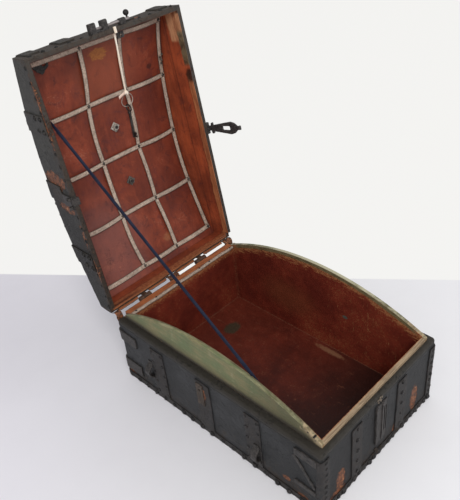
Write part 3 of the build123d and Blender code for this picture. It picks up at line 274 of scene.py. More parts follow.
class Finish:
    """A material and its nodes. Places are in millimetres, a lid's on the closed lid."""

    def __init__(self, name, on_lid=False, scene_slot=None):
        self.material = bpy.data.materials.new(name)
        self.material.use_nodes = True
        self.tree = self.material.node_tree
        self.tree.nodes.clear()
        self.slot = scene_slot
        coordinates = self.node("ShaderNodeTexCoord", {}, (), "Object")
        turn = radians(OPEN_ANGLE) if on_lid else 0
        hinge = Vector((0, HINGE_Y, HINGE_Z))
        shift = hinge - Matrix.Rotation(turn, 3, "X") @ hinge if on_lid else Vector()
        self.place = self.node("ShaderNodeMapping", {"vector_type": "POINT"}, {
            "Vector": coordinates, "Location": shift, "Rotation": (turn, 0, 0),
            "Scale": (1 / MM,) * 3,
        })
        self.x, self.y, self.z = self.split(self.place)

    def node(self, kind, settings, values=(), output=0):
        made = self.tree.nodes.new(kind)
        for key, value in settings.items():
            setattr(made, key, value)
        self.feed(made, values.items() if isinstance(values, dict) else enumerate(values))
        return Flow(self, made.outputs[output])

    def feed(self, made, pairs):
        """Each input's flow is linked and its number set; an input with None keeps its own."""
        for key, value in pairs:
            if isinstance(value, Flow):
                self.tree.links.new(value.socket, made.inputs[key])
            elif value is not None:
                self.set_value(made.inputs[key], value)

    def set_value(self, socket, value):
        if socket.type == "RGBA" and len(value) == 3:
            value = (*value, 1)
        socket.default_value = value

    def vector_maths(self, operation, *vectors, output=0):
        return self.node("ShaderNodeVectorMath", {"operation": operation}, vectors, output)

    def split(self, vector):
        made = self.node("ShaderNodeSeparateXYZ", {}, (vector,)).socket.node
        return [Flow(self, output) for output in made.outputs]

    def noise(self, scale, detail=3, rough=0.55, twist=0, squeeze=None):
        """Noise over the place, which may first be squeezed along each axis."""
        place = self.vector_maths("MULTIPLY", self.place, squeeze) if squeeze else self.place
        return self.node("ShaderNodeTexNoise", {}, {
            "Vector": place, "Scale": scale, "Detail": detail, "Roughness": rough,
            "Distortion": twist,
        })

    def cells(self, scale, feature="F1", vector=None):
        values = {"Vector": vector or self.place, "Scale": scale}
        return self.node("ShaderNodeTexVoronoi", {"feature": feature}, values)

    def mix(self, factor, a, b):
        return self.node("ShaderNodeMix", {"data_type": "RGBA"}, {0: factor, 6: a, 7: b}, 2)

    def coat(self, mask, colour):
        """Another layer of colour, where the mask lets it show."""
        self.colour = self.mix(mask, self.colour, colour)

    def spot(self, centre, radii, soft=0.35, wobble=0):
        """1 inside an ellipsoid of these radii, 0 outside it."""
        offset = self.vector_maths("SUBTRACT", self.place, centre)
        share = self.vector_maths("MULTIPLY", offset, tuple(1 / radius for radius in radii))
        reach = self.vector_maths("LENGTH", share, output="Value")
        if wobble:
            reach = reach + (self.noise(1.6 / min(radii), 4) - 0.5) * wobble
        return reach.rise(1 + soft, 1 - soft)

    def spot_coat(self, strength, colour, *spot):
        """A coat inside one spot."""
        self.coat(self.spot(*spot) * strength, colour)

    def scattered(self, spots, wobble):
        """Several spots as one mask."""
        mask = None
        for centre, radii in spots:
            one = self.spot(centre, radii, 0.7, wobble)
            mask = one if mask is None else mask.highest(one)
        return mask

    def edge_wear(self):
        """1 on a piece's rounded edges."""
        return self.node("ShaderNodeAttribute", {"attribute_name": "edge"}, (), "Fac")

    def below_arch(self):
        """How far a place lies under the top of the body's arches."""
        dy, dz = self.y - ARCH_CENTRE_Y, self.z - ARCH_CENTRE_Z
        return ARCH_RADIUS - (dy * dy + dz * dz).maths("SQRT")

    def flat(self):
        """How far along the piece a place is, and how far across, from its own UV map."""
        return self.split(self.node("ShaderNodeTexCoord", {}, (), "UV"))[:2]

    def surface(self, roughness, height, depth, metallic=None, specular=None, sheen=None):
        shader = self.tree.nodes.new("ShaderNodeBsdfPrincipled")
        output = self.tree.nodes.new("ShaderNodeOutputMaterial")
        self.tree.links.new(shader.outputs[0], output.inputs[0])
        relief = {"Strength": 1, "Distance": depth * MM, "Height": height}
        values = {
            "Base Color": self.colour, "Roughness": roughness, "Metallic": metallic,
            "Specular IOR Level": specular, "Sheen Weight": sheen,
            "Normal": self.node("ShaderNodeBump", {}, relief),
        }
        self.feed(shader, values.items())
        return self


def scaled(colour, factor, added=0):
    """A colour made lighter or darker."""
    return tuple(min(1, part * factor + added) for part in colour)


def leather(name, on_lid=False, worn_spots=(), wall=False, light=1, rust=1, tint=(1, 1, 1)):
    """Blackened leather, cracked and scuffed, brown where hands and hinges rubbed it."""
    f = Finish(name, on_lid, "outer_leather")
    cloud = f.noise(0.016, 4, 0.6)
    mottle = f.noise(0.1, 5, 0.65)
    fine = f.noise(0.8, 4, 0.65)
    grain = f.cells(0.9)
    values = {"Vector": f.place, "Scale": 0.06, "Detail": 4}
    wave = f.node("ShaderNodeTexNoise", {}, values, "Color")
    bent = f.vector_maths("ADD", f.place, f.vector_maths("MULTIPLY", wave, (30, 30, 30)))
    cracks = f.cells(0.045, "DISTANCE_TO_EDGE", bent)
    crazing = f.cells(0.22, "DISTANCE_TO_EDGE", bent)

    def grey(depth):
        return scaled(tint, depth * light)

    f.colour = f.mix((cloud * 0.6 + mottle * 0.5).rise(0.38, 0.74), grey(0.0125), grey(0.041))
    f.coat(mottle.rise(0.52, 0.76) * 0.5, scaled((0.03, 0.027, 0.02), light))
    f.coat((fine * 0.7 + mottle * 0.4).rise(0.62, 0.78) * 0.5, grey(0.085))
    if on_lid:
        # Painted shade: the lid's leather darker towards the hinge; painted light: paler blotches towards its front
        # edge.
        f.coat(f.y.rise(-30, 110) * 0.8, grey(0.01))
        f.coat(f.y.rise(-20, -110) * mottle * 0.6, grey(0.1))
    else:
        f.coat(f.y.rise(-50, -180) * 0.46, grey(0.01))
    if wall:
        level = f.z + (cloud - 0.5) * 9
        f.coat(level.rise(106, 115.5) * 0.85, (0.028, 0.023, 0.016))
        on_front = f.y.rise(-197.5, -199) * f.z.rise(109, 106)
        # Painted shade: the left half of the front wall darker, below the ledge.
        f.coat(on_front * f.x.rise(45, -35) * 0.62, (0.0085, 0.008, 0.0085))
        # Painted shadow, with some dirt: thin dark lines beside the edges of the straps and the lock plate on the
        # front wall.
        for x in (-71.5, -46, -18.5, 10, 33.5, 59.5):
            line = (f.x + (mottle - 0.5) * 1.6).within(x - 0.7, x + 0.7, 0.7)
            f.coat(line * on_front * 0.75, (0.006, 0.006, 0.007))
        welt = (f.z + (mottle - 0.5) * 2).within(109.2, 110.4, 0.7)
        f.coat(welt * 0.7, (0.006, 0.006, 0.006))
    edge = f.edge_wear()
    scuff = (edge * 0.55 + mottle * 0.7 + fine * 0.3).rise(0.9, 1.12) * rust
    f.coat(scuff * 0.8, (0.048, 0.029, 0.018))
    bare = (edge * 0.42 + f.noise(0.3, 4, 0.7) * 0.8).rise(0.92, 1.02) * rust
    f.coat(bare * 0.85, (0.17, 0.068, 0.032))
    height = grain * -0.3 + fine * 0.6 + mottle * 2.4
    if worn_spots:
        mask = f.scattered(worn_spots, 0.9)
        torn = f.noise(0.22, 6, 0.75, 0.6)
        ragged = (mask * (0.2 + mottle * 0.5 + torn * 0.95)).rise(0.66, 0.78)
        tone = f.noise(0.2, 6, 0.75, 0.8)
        bared = f.mix(tone.rise(0.4, 0.57), (0.036, 0.019, 0.013), (0.24, 0.076, 0.026))
        bared = f.mix(tone.rise(0.56, 0.66), bared, (0.5, 0.24, 0.11))
        f.coat(ragged, bared)
        height = height - ragged * 2.2
    crack = cracks.rise(0.02, 0) * cloud.rise(0.44, 0.56)
    crack = crack + crazing.rise(0.03, 0) * mottle.rise(0.5, 0.6) * 0.6
    f.coat((crack * 0.75).held(), (0.004, 0.004, 0.004))
    height = height - crack * 1.1
    if wall:
        height = height + welt * 1.6
    roughness = 0.5 + fine * 0.16 + mottle * 0.12
    return f.surface(roughness, height, 0.85, specular=0.38)


def green_cloth(name, side):
    """Faded green cloth on the arched tongues: grimy at the foot, rubbed pale on the top edge."""
    f = Finish(name, scene_slot="green_cloth")
    streak = f.noise(0.5, 5, 0.65, squeeze=(0.3, 0.035, 0.4))
    upright = f.noise(0.5, 4, 0.6, squeeze=(0.3, 0.25, 0.05))
    cloud = f.noise(0.028, 4, 0.6)
    mottle = f.noise(0.12, 4, 0.65)
    weave = f.noise(1.6, 2)
    below_top = f.below_arch()
    faded = (streak * 0.7 + cloud * 0.8).rise(0.6, 0.9)
    f.colour = f.mix(faded, (0.13, 0.16, 0.072), (0.215, 0.185, 0.088))
    f.coat(mottle.rise(0.5, 0.72) * 0.45, (0.115, 0.12, 0.06))
    f.coat((upright * 0.6 + streak * 0.5).rise(0.6, 0.72) * 0.4, (0.3, 0.29, 0.17))
    up = f.z - LEDGE + (cloud - 0.5) * 8
    f.coat(up.rise(22, 4) * 0.6, (0.135, 0.11, 0.052))
    f.coat(f.y.rise(-20, -150) * 0.72, (0.072, 0.062, 0.029))
    f.coat(up.rise(9.5, 1), (0.036, 0.029, 0.016))
    inner = (f.x.size() - CLOTH_INNER + (mottle - 0.5) * 2.4).rise(1, -0.6)
    f.coat(inner * below_top.rise(1.4, 0.4) * 0.8, (0.07, 0.055, 0.032))
    if side == "right":
        middle = f.y.within(-60, 80, 40)
        rubbed = (below_top.rise(5, 0.2) * 0.4 + streak * 0.55 + middle * 0.22).rise(0.6, 0.8)
        f.coat(rubbed * 0.9, (0.46, 0.43, 0.3))
    else:
        rubbed = (below_top.rise(2.6, 0.2) * 0.4 + streak * 0.6).rise(0.62, 0.84)
        f.coat(rubbed * 0.6, (0.34, 0.33, 0.2))
    flaked = (f.y.rise(-128, -172) * 0.6 + f.noise(0.16, 4, 0.65) * 0.75).rise(0.84, 0.96)
    flaked = flaked * below_top.rise(11, 3)
    f.coat(flaked * 0.9, f.mix(mottle.rise(0.4, 0.6), (0.4, 0.31, 0.19), (0.2, 0.15, 0.085)))
    holes = f.spot((-119, -171, 131), (4, 1.5, 1.5), 0.3)
    holes = holes.highest(f.spot((-119, -180, 128.5), (4, 1.6, 1.6), 0.3))
    f.coat(holes, (0.006, 0.005, 0.004))
    height = streak * 1.4 + weave * 0.6 + mottle * 1.2 - flaked * 1.6 - holes * 3
    return f.surface(0.76 + weave * 0.12, height, 0.4, specular=0.25, sheen=0.1)


def oxblood(name, floor=False):
    """Deep red paint on the inside walls, scratched down to orange wood."""
    f = Finish(name, scene_slot="oxblood_paint")
    cloud = f.noise(0.014, 4, 0.6)
    mottle = f.noise(0.075, 5, 0.65)
    speck = f.noise(0.5, 3, 0.65)
    dark = (0.048, 0.0085, 0.0055) if floor else (0.098, 0.014, 0.0085)
    red = (0.125, 0.02, 0.0105) if floor else (0.2, 0.03, 0.015)
    f.colour = f.mix((cloud * 0.8 + mottle * 0.4).rise(0.42, 0.82), dark, red)
    f.coat(mottle.rise(0.55, 0.8) * 0.35, (0.085, 0.03, 0.014))
    scratch = f.noise(0.5, 5, 0.75, 0, (0.35, 0.08, 0.35))
    if floor:
        # Painted light: the floor paler towards the back. Painted shadow of the front wall: the floor darker towards
        # the front.
        f.coat(f.y.rise(-60, 160) * 0.4, (0.15, 0.026, 0.013))
        f.coat(f.y.rise(40, -140) * 0.88, (0.023, 0.007, 0.0048))
        f.spot_coat(0.9, (0.04, 0.034, 0.02), (45, 133, 10), (16, 12, 30), 0.3, 0.7)
        f.spot_coat(0.65, (0.23, 0.115, 0.06), (105, -34, 10), (4.6, 26, 30), 0.4, 1.1)
        edge = f.x.size().rise(113.4, 115).highest(f.y.rise(180.6, 183))
        f.coat(edge * 0.55 * speck.rise(0.3, 0.6), (0.2, 0.085, 0.05))
        flecks = (f.noise(0.3, 5, 0.8, 1) * 0.7 + mottle * 0.4).rise(0.645, 0.7)
        f.coat(flecks * 0.55, (0.19, 0.075, 0.04))
        f.coat(scratch.rise(0.62, 0.67) * 0.5, (0.15, 0.055, 0.03))
        gloss = 0.36
    else:
        below_top = f.below_arch()
        along = f.noise(0.5, 5, 0.75, squeeze=(0.9, 0.14, 0.8))
        worn = (below_top.rise(34, 5) * 0.36 + along * 0.75).rise(0.64, 0.73)
        f.coat(worn * 0.85, f.mix(speck.rise(0.4, 0.6), (0.22, 0.07, 0.026), (0.42, 0.19, 0.08)))
        upright = f.noise(0.5, 5, 0.75, squeeze=(0.6, 0.6, 0.12))
        nicks = (f.y.within(-180, -10, 20) * 0.12 + upright * 0.8).rise(0.6, 0.655)
        f.coat(nicks * 0.8, (0.3, 0.135, 0.06))
        flecks = (f.noise(0.28, 5, 0.8, 1.2) * 0.75 + cloud * 0.35).rise(0.615, 0.665)
        f.coat(flecks * 0.75, (0.26, 0.095, 0.04))
        # Painted light: a paler patch on the right wall.
        f.spot_coat(0.45, (0.165, 0.05, 0.02), (115, 60, 72), (40, 52, 30), 0.6, 0.5)
        nail = f.spot((115, -56, 90), (5, 4.5, 3), 0.35, 0.6)
        f.coat(nail, (0.09, 0.095, 0.08))
        corner = f.y.rise(177, 183) * f.x.size().rise(109, 115)
        f.coat(corner * 0.5 * speck.rise(0.45, 0.6), (0.24, 0.1, 0.05))
        turned_in = (below_top + (mottle - 0.5) * 4).rise(7, 4.5) * f.y.size().rise(184, 170)
        cloth = f.mix(along.rise(0.35, 0.65), (0.085, 0.085, 0.042), (0.17, 0.155, 0.082))
        f.coat(turned_in * 0.85, cloth)
        foot = f.z.rise(13.5, 9.5) * (speck * 0.7 + mottle * 0.5).rise(0.5, 0.66)
        f.coat(foot * 0.6, (0.2, 0.085, 0.05))
        gloss = 0.42
    height = mottle * 1.6 + speck * 0.6 + scratch * 0.8
    return f.surface(gloss + mottle * 0.22, height, 0.4, specular=0.24)


def lid_paint(name, walls=False):
    """The lid's painted inside: brick red, blotched, with bare and scuffed places."""
    f = Finish(name, True, "oxblood_paint")
    cloud = f.noise(0.015, 4, 0.6)
    mottle = f.noise(0.05, 5, 0.68, 0.8)
    streak = f.noise(0.5, 5, 0.65, squeeze=(0.22, 0.03, 0.22))
    speck = f.noise(0.6, 3, 0.65)
    brick = (0.4, 0.082, 0.03) if walls else (0.25, 0.047, 0.0205)
    dark = (0.16, 0.032, 0.015) if walls else (0.118, 0.0215, 0.011)
    f.colour = f.mix((cloud * 0.8 + streak * 0.4).rise(0.42, 0.8), dark, brick)
    f.coat(mottle.rise(0.54, 0.7) * 0.6, (0.1, 0.024, 0.019))
    if walls:
        up = f.z - RIM - f.y.rise(184, 191) * 6
        grain = f.noise(0.5, 6, 0.7, 0.3, (0.5, 0.05, 0.5))
        f.coat(grain.rise(0.5, 0.7) * 0.35, (0.09, 0.022, 0.012))
        shown = f.x.rise(60, 100).highest(f.y.rise(150, 185))
        worn_edge = up + (grain - 0.5) * 7 + (cloud - 0.5) * 9
        rubbed = worn_edge.rise(10.5, 8.6) * shown * f.y.rise(-104, -98)
        bare = f.mix(grain.rise(0.4, 0.6), (0.42, 0.16, 0.066), (0.24, 0.08, 0.034))
        f.coat(rubbed * 0.9, bare)
        line = worn_edge.within(9.6, 11, 0.8) * shown * f.y.rise(-104, -98)
        f.coat(line * 0.6, (0.045, 0.012, 0.008))
        front = f.y.rise(-146, -152) * (up + (grain - 0.5) * 14).rise(27, 24) * f.x.rise(60, 100)
        f.coat(front * 0.85, f.mix(grain.rise(0.42, 0.66), (0.56, 0.29, 0.15), (0.25, 0.09, 0.04)))
        patch = f.y.within(-164, -112, 4) * (up + (mottle - 0.5) * 9).rise(11.5, 9.5)
        patch = patch * f.x.rise(60, 100)
        f.coat(patch * 0.9, f.mix(mottle.rise(0.4, 0.6), (0.15, 0.13, 0.075), (0.06, 0.05, 0.03)))
        f.spot_coat(0.9, (0.02, 0.01, 0.008), (127, -96, RIM + 3), (8, 10, 8), 0.4, 0.8)
        hidden = f.x.rise(-60, -100).highest(f.y.rise(-188, -192)) * up.rise(7, 1)
        f.coat(hidden * 0.85, (0.018, 0.013, 0.011))
        f.coat(f.y.rise(186, 191) * 0.4, (0.13, 0.028, 0.0125))
        seam = f.z.within(DOME_SPRING - 1.2, DOME_SPRING + 0.6, 0.6)
        f.coat(seam * 0.5, (0.035, 0.01, 0.008))
    else:
        blotch = f.noise(0.024, 5, 0.72, 1.4)
        f.coat(blotch.rise(0.53, 0.64) * 0.42, (0.088, 0.0205, 0.0205))
        f.coat(blotch.rise(0.43, 0.34) * 0.35, (0.31, 0.066, 0.028))
        # Painted sheen: a pinkish paler zone on the left, towards the hinge.
        f.spot_coat(0.55, (0.215, 0.092, 0.08), (-72, 128, 170), (58, 74, 90), 0.6, 0.5)
        # Painted highlight: a paler zone in the middle, towards the front edge.
        f.spot_coat(0.5, (0.3, 0.076, 0.036), (10, -140, 165), (50, 50, 90), 0.6, 0.3)
        f.spot_coat(0.3, (0.11, 0.019, 0.0105), (84, 20, 170), (46, 150, 90), 0.5, 0.3)
        tan_scuff = f.spot((1, -167, 166), (17, 10, 40), 0.35, 1.2)
        ragged = (tan_scuff * (speck * 0.8 + mottle * 0.7)).rise(0.42, 0.62)
        f.coat(ragged * 0.9, f.mix(speck.rise(0.4, 0.6), (0.22, 0.066, 0.016), (0.4, 0.15, 0.035)))
        small = f.spot((33, 158, 160), (9, 6, 40), 0.4, 1.2)
        f.coat((small * (speck + 0.3)).held() * 0.6, (0.34, 0.135, 0.055))
        f.spot_coat(0.7, (0.03, 0.01, 0.008), (92, -120, 170), (5, 4, 40), 0.3, 0.8)
        stains = (mottle * 0.7 + speck * 0.4).rise(0.6, 0.68)
        f.coat(stains * 0.45, (0.06, 0.016, 0.012))
        flecks = (f.noise(0.4, 4, 0.75, 0.8) * 0.6 + cloud * 0.5).rise(0.645, 0.69)
        f.coat(flecks * 0.55, (0.36, 0.135, 0.08))
        rim_shade = (f.x.size() - 112).rise(0, 9).highest((f.y + 186).rise(1, -6))
        f.coat(rim_shade * 0.45, (0.055, 0.014, 0.011))
    height = mottle * 2 + speck * 0.5 + streak * 0.8
    return f.surface(0.34 + mottle * 0.22 + speck * 0.06, height, 0.45, specular=0.26)


def bare_wood(name, on_lid, pale, dark, axis="x", hide_from=None):
    """Raw wood with its grain along one axis, under dark hide from a place along y on."""
    f = Finish(name, on_lid, "bare_wood")
    squeeze = {"x": (0.035, 0.5, 0.5), "y": (0.5, 0.035, 0.5)}[axis]
    grain = f.noise(1, 5, 0.65, 0.4, squeeze)
    fibre = f.noise(1, 3, 0.6, squeeze=tuple(3.2 * share for share in squeeze))
    grime = f.noise(0.05, 4, 0.6)
    f.colour = f.mix(grain.rise(0.35, 0.68), pale, dark)
    f.coat(fibre.rise(0.55, 0.75) * 0.4, scaled(dark, 0.5))
    f.coat(grime.rise(0.5, 0.75) * 0.4, scaled(dark, 0.4))
    if hide_from:
        f.coat(f.y.rise(hide_from - 0.3, hide_from + 0.2), (0.016, 0.014, 0.012))
    return f.surface(0.62 + grime * 0.2, grain + fibre * 0.6, 0.35)


def iron(name, on_lid, base, rust=0.5, rough=0.46, bright=1, dull=None, slot_name="black_iron"):
    """Forged iron gone black, with rust in its hollows and rubbed bright on its edges."""
    f = Finish(name, on_lid, slot_name)
    pitted = f.noise(0.5, 5, 0.7)
    patch = f.noise(0.08, 4, 0.65)
    f.colour = f.mix(patch.rise(0.4, 0.7), base, scaled(base, 2.4, 0.008))
    f.coat((pitted * 0.7 + patch * 0.4).rise(0.58, 0.76) * rust, (0.085, 0.033, 0.014))
    f.coat(pitted.rise(0.46, 0.34) * 0.7, scaled(base, 0.35))
    f.coat(f.edge_wear() * pitted.rise(0.4, 0.62) * 0.65, scaled(base, 4.5 * bright, 0.015))
    if dull:
        f.coat(f.y.rise(*dull) * 0.8, scaled(base, 0.25))
    height = f.cells(0.16) * 0.8 + pitted * 1.3
    return f.surface(rough + pitted * 0.25, height, 0.4, 0.7 - pitted * 0.6)


def bolt_steel(name):
    """The bolt: its bar rubbed bright by its keepers, its ball left dark."""
    f = Finish(name, True, "black_iron")
    pitted = f.noise(0.6, 4, 0.7)
    along = f.noise(0.5, 4, 0.6, squeeze=(0.08, 1.6, 1.6))
    f.colour = f.mix(along.rise(0.35, 0.65), (0.42, 0.38, 0.37), (0.2, 0.17, 0.165))
    f.coat(pitted.rise(0.58, 0.7) * 0.7, (0.07, 0.042, 0.03))
    black = f.mix(pitted.rise(0.4, 0.6), (0.012, 0.011, 0.011), (0.035, 0.032, 0.03))
    f.coat(f.y.rise(-208.2, -209.4), black)
    return f.surface(0.38 + pitted * 0.2, pitted + along * 0.4, 0.3, 0.55)


def tape(name, on_lid, dirt):
    """Woven tape, grey-beige, its selvedges darkened: partly grime, partly painted shade."""
    f = Finish(name, on_lid, "grey_tape")
    u, v = f.flat()
    warp = (v * 4.4).maths("SINE")
    weft = (u * 2.1).maths("SINE")
    cloud = f.noise(0.05, 4, 0.6)
    fleck = f.noise(0.7, 3, 0.65)
    coarse = f.noise(0.32, 3, 0.7)
    f.colour = f.mix((cloud + dirt * 0.2).rise(0.35, 0.7), (0.54, 0.42, 0.335), (0.37, 0.29, 0.235))
    f.coat((warp * weft).rise(0, 0.8) * 0.5, (0.62, 0.5, 0.4))
    stitch = (v.size() - 1.9).rise(0, 0.5) * (u * 1.9).maths("SINE").rise(-0.2, 0.6)
    f.coat(stitch * 0.45, (0.065, 0.05, 0.04))
    # The selvedges darkened: partly grime, partly painted shade where the tape stands off the panel.
    edge = (v.size() + (fleck - 0.5) * 1.2 - 2.75).rise(0, 0.7)
    f.coat(edge * 0.85, (0.034, 0.026, 0.021))
    f.coat(fleck.rise(0.56, 0.72) * (0.5 + dirt * 0.4), (0.075, 0.058, 0.046))
    f.coat(coarse.rise(0.48, 0.62) * 0.55, (0.15, 0.115, 0.08))
    return f.surface(0.84, warp * 0.4 + weft * 0.4 + fleck * 0.6, 0.25, specular=0.25)


def ribbon(name, slot_name, colour, shade, width):
    """Silk ribbon with fine cords across it and worn edges, paler along its folds in a painted sheen."""
    f = Finish(name, False, slot_name)
    u, v = f.flat()
    cords = (u * 7.5).maths("SINE")
    fold = (v * (2.6 / width) + (f.noise(0.03, 3) - 0.5) * 2).maths("SINE")
    cloud = f.noise(0.06, 4, 0.6)
    # Paler where the folds turn: painted sheen, mixed with a random tone.
    f.colour = f.mix((cloud * 0.6 + fold * 0.25 + 0.2).rise(0.3, 0.75), colour, shade)
    edge = (v.size() - 0.36 * width).rise(0, 0.14 * width)
    f.coat(edge * 0.25, scaled(colour, 0.4))
    return f.surface(0.6, cords * 0.3 + fold * 0.8, 0.18, specular=0.16)


# Shaping


def finished(shape, name, finish, body, on_lid=False):
    """The bmesh, in millimetres, as an object that rides with its body."""
    if on_lid:
        bmesh.ops.transform(shape, matrix=swing, verts=shape.verts)
    bmesh.ops.scale(shape, vec=(MM,) * 3, verts=shape.verts)
    for face in shape.faces:
        face.smooth = True
    mesh = bpy.data.meshes.new(name)
    shape.to_mesh(mesh)
    shape.free()
    piece = bpy.data.objects.new(name, mesh)
    bpy.context.scene.collection.objects.link(piece)
    mesh.materials.append(finish.material)
    if body:
        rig.ride(piece, body)
    if finish.slot:
        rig.slot(piece, finish.slot)
    return piece


def shift(shape, step, verts=None):
    bmesh.ops.translate(shape, vec=step, verts=verts or shape.verts)


def quarter_turn(shape, axis, centre=(0, 0, 0), verts=None):
    turn = Matrix.Rotation(pi / 2, 3, axis)
    bmesh.ops.rotate(shape, cent=centre, matrix=turn, verts=verts or shape.verts)


def spin(shape, verts, lines, steps):
    """Verts and the lines between them turned once round +Z."""
    bmesh.ops.spin(
        shape, geom=verts + lines, cent=(0, 0, 0), axis=(0, 0, 1), dvec=(0, 0, 0), angle=2 * pi,
        steps=steps, use_merge=True
    )


def closed(shape):
    """The seams that spinning left are merged, and the faces turned outwards."""
    bmesh.ops.remove_doubles(shape, verts=shape.verts, dist=0.01)
    bmesh.ops.recalc_face_normals(shape, faces=shape.faces)


def standing(centre, out):
    """Brings +Z to an outward direction and the origin to a centre."""
    return Matrix.Translation(centre) @ out.to_track_quat("Z", "Y").to_matrix().to_4x4()


def strip(name, finish, body, length, width, lay, steps, across=4, on_lid=False, thickness=0.5):
    """A band cut as a grid, laid by a function of how far along and across it a point is."""
    shape = bmesh.new()
    maps = shape.loops.layers.uv.new("flat")
    bmesh.ops.create_grid(shape, x_segments=steps, y_segments=across, size=0.5)
    for face in shape.faces:
        for loop in face.loops:
            loop[maps].uv = ((loop.vert.co.x + 0.5) * length, loop.vert.co.y * width)
    for vert in shape.verts:
        vert.co = lay((vert.co.x + 0.5) * length, vert.co.y * width)
    bmesh.ops.recalc_face_normals(shape, faces=shape.faces)
    piece = finished(shape, name, finish, body, on_lid)
    solid = piece.modifiers.new("thickness", "SOLIDIFY")
    solid.thickness = thickness * MM
    solid.offset = 0
    solid.use_even_offset = True
    return piece


def dome_height(y, offset=0):
    """Height of the closed lid's domed inside at y, or of a face at some offset from it."""
    return DOME_CENTRE_Z + sqrt((DOME_RADIUS + offset) ** 2 - (y - DOME_CENTRE_Y) ** 2)


def from_frame(node_name, on_lid=False):
    """A merged copy of a frame piece's mesh in millimetres, a lid's piece on the closed lid."""
    shape = bmesh.new()
    shape.from_mesh(frame["nodes"][node_name].data)
    bmesh.ops.scale(shape, vec=(1 / MM,) * 3, verts=shape.verts)
    if on_lid:
        bmesh.ops.transform(shape, matrix=swing.inverted(), verts=shape.verts)
    bmesh.ops.remove_doubles(shape, verts=shape.verts, dist=0.004)
    return shape


def drift(place):
    """A smooth noise for each axis, the same on every run."""
    shifts = (Vector((9.3, -1.5, -7.9)), Vector((0, 0, 0)), Vector((-4.7, 2.6, 6.2)))
    return Vector([noise.noise(place + shift) for shift in shifts])


def uneven(place, sag, grit):
    """How far age has moved a place: slowly over the boards, roughly from spot to spot."""
    return drift(place * 0.017) * sag + drift(place * 0.14 + Vector((7, 3, 5))) * grit


def body_hold(place):
    """Less movement at the ledge, where the boards stand on it."""
    return 1 - 0.65 * min(1, max(0, (place.z - 108) / 8))


def lid_hold(place):
    """Less movement at the lid's rim."""
    return 0.25 + 0.75 * min(1, max(0, (place.z - RIM) / 12))


def aged(node_name, finish, cell, soften, sag, grit, body="body", hold=None):
    """A frame piece with its edges rounded and its faces made uneven, in place of the plain one."""
    on_lid = body != "body"
    shape = from_frame(node_name, on_lid)
    bmesh.ops.dissolve_limit(shape, angle_limit=radians(0.8), verts=shape.verts, edges=shape.edges)
    edge = shape.verts.layers.float.new("edge")
    whole = [line for line in shape.edges if line.is_manifold]
    sharp = [line for line in whole if line.calc_face_angle() > radians(38)]
    bevelled = bmesh.ops.bevel(
        shape, geom=sharp, offset=soften, offset_type="OFFSET", affect="EDGES", segments=2,
        profile=0.5, material=-1, clamp_overlap=True
    )
    for face in bevelled["faces"]:
        for vert in face.verts:
            vert[edge] = 1
    for axis in range(3):
        reach = [vert.co[axis] for vert in shape.verts]
        cut = min(reach) + cell
        while cut < max(reach) - 0.3 * cell:
            at, across = Vector(), Vector()
            at[axis], across[axis] = cut, 1
            every = shape.verts[:] + shape.edges[:] + shape.faces[:]
            bmesh.ops.bisect_plane(shape, geom=every, dist=0.001, plane_co=at, plane_no=across)
            cut += cell
    for vert in shape.verts:
        moved = uneven(vert.co, sag, grit) * (hold(vert.co) if hold else 1)
        if body == "body":
            moved.z *= min(1, max(0, vert.co.z / 8))
        vert.co += moved
    bmesh.ops.triangulate(shape, faces=shape.faces)
    piece = finished(shape, "worn_" + node_name, finish, body, on_lid)
    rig.replaces(piece, node_name)


def separate(shape):
    """The loose parts of a mesh, each as a list of its faces."""
    for face in shape.faces:
        face.tag = False
    for first in shape.faces:
        if first.tag:
            continue
        first.tag = True
        part, waiting = [], [first]
        while waiting:
            face = waiting.pop()
            part.append(face)
            for line in face.edges:
                for other in line.link_faces:
                    if not other.tag:
                        other.tag = True
                        waiting.append(other)
        yield part


def rounded(vector, digits):
    """Places worked out from the frame's meshes, the same on every run."""
    return Vector([round(value, digits) for value in vector])


def nail_places(node_name, on_lid):
    """Where the frame's plain nail heads sit, which way they point and how wide they are."""
    shape = from_frame(node_name, on_lid)
    places = []
    for part in separate(shape):
        areas = {}
        for face in part:
            key = tuple(round(value, 1) for value in face.normal)
            areas.setdefault(key, []).append(face)
        seat = max(areas.values(), key=lambda faces: sum(face.calc_area() for face in faces))
        corners = sorted({tuple(vert.co) for face in seat for vert in face.verts})
        centre = sum(map(Vector, corners), Vector()) / len(corners)
        radius = max((Vector(corner) - centre).length for corner in corners)
        out = -sum((face.normal for face in seat), Vector()).normalized()
        places.append((rounded(centre, 3), rounded(out, 4), round(radius, 3)))
    shape.free()
    return sorted(places, key=lambda place: tuple(place[0]))


def add_head(shape, centre, out, radius, height):
    """One forged head: a low lump with hammered facets, no two alike."""
    grain = noise.noise(centre * 0.61)
    made = bmesh.ops.create_icosphere(shape, subdivisions=2, radius=1)["verts"]
    for vert in made:
        x, y, z = vert.co
        lump = 1 + 0.3 * noise.noise(vert.co * 1.4 + centre * 0.37)
        facet = 1 - 0.1 * cos(5 * atan2(y, x) + 9 * grain)
        peak = max(z, -0.1) * (1 + 0.35 * noise.noise(vert.co * 0.9 + centre * 0.73))
        wide = lump * facet * radius
        vert.co = (x * wide, y * wide * (1 + 0.25 * grain), peak * height)
    turn = Matrix.Rotation(7 * grain, 4, "Z")
    tilt = Matrix.Rotation(0.25 * noise.noise(centre * 0.9), 4, "X")
    bmesh.ops.transform(shape, matrix=standing(centre, out) @ turn @ tilt, verts=made)


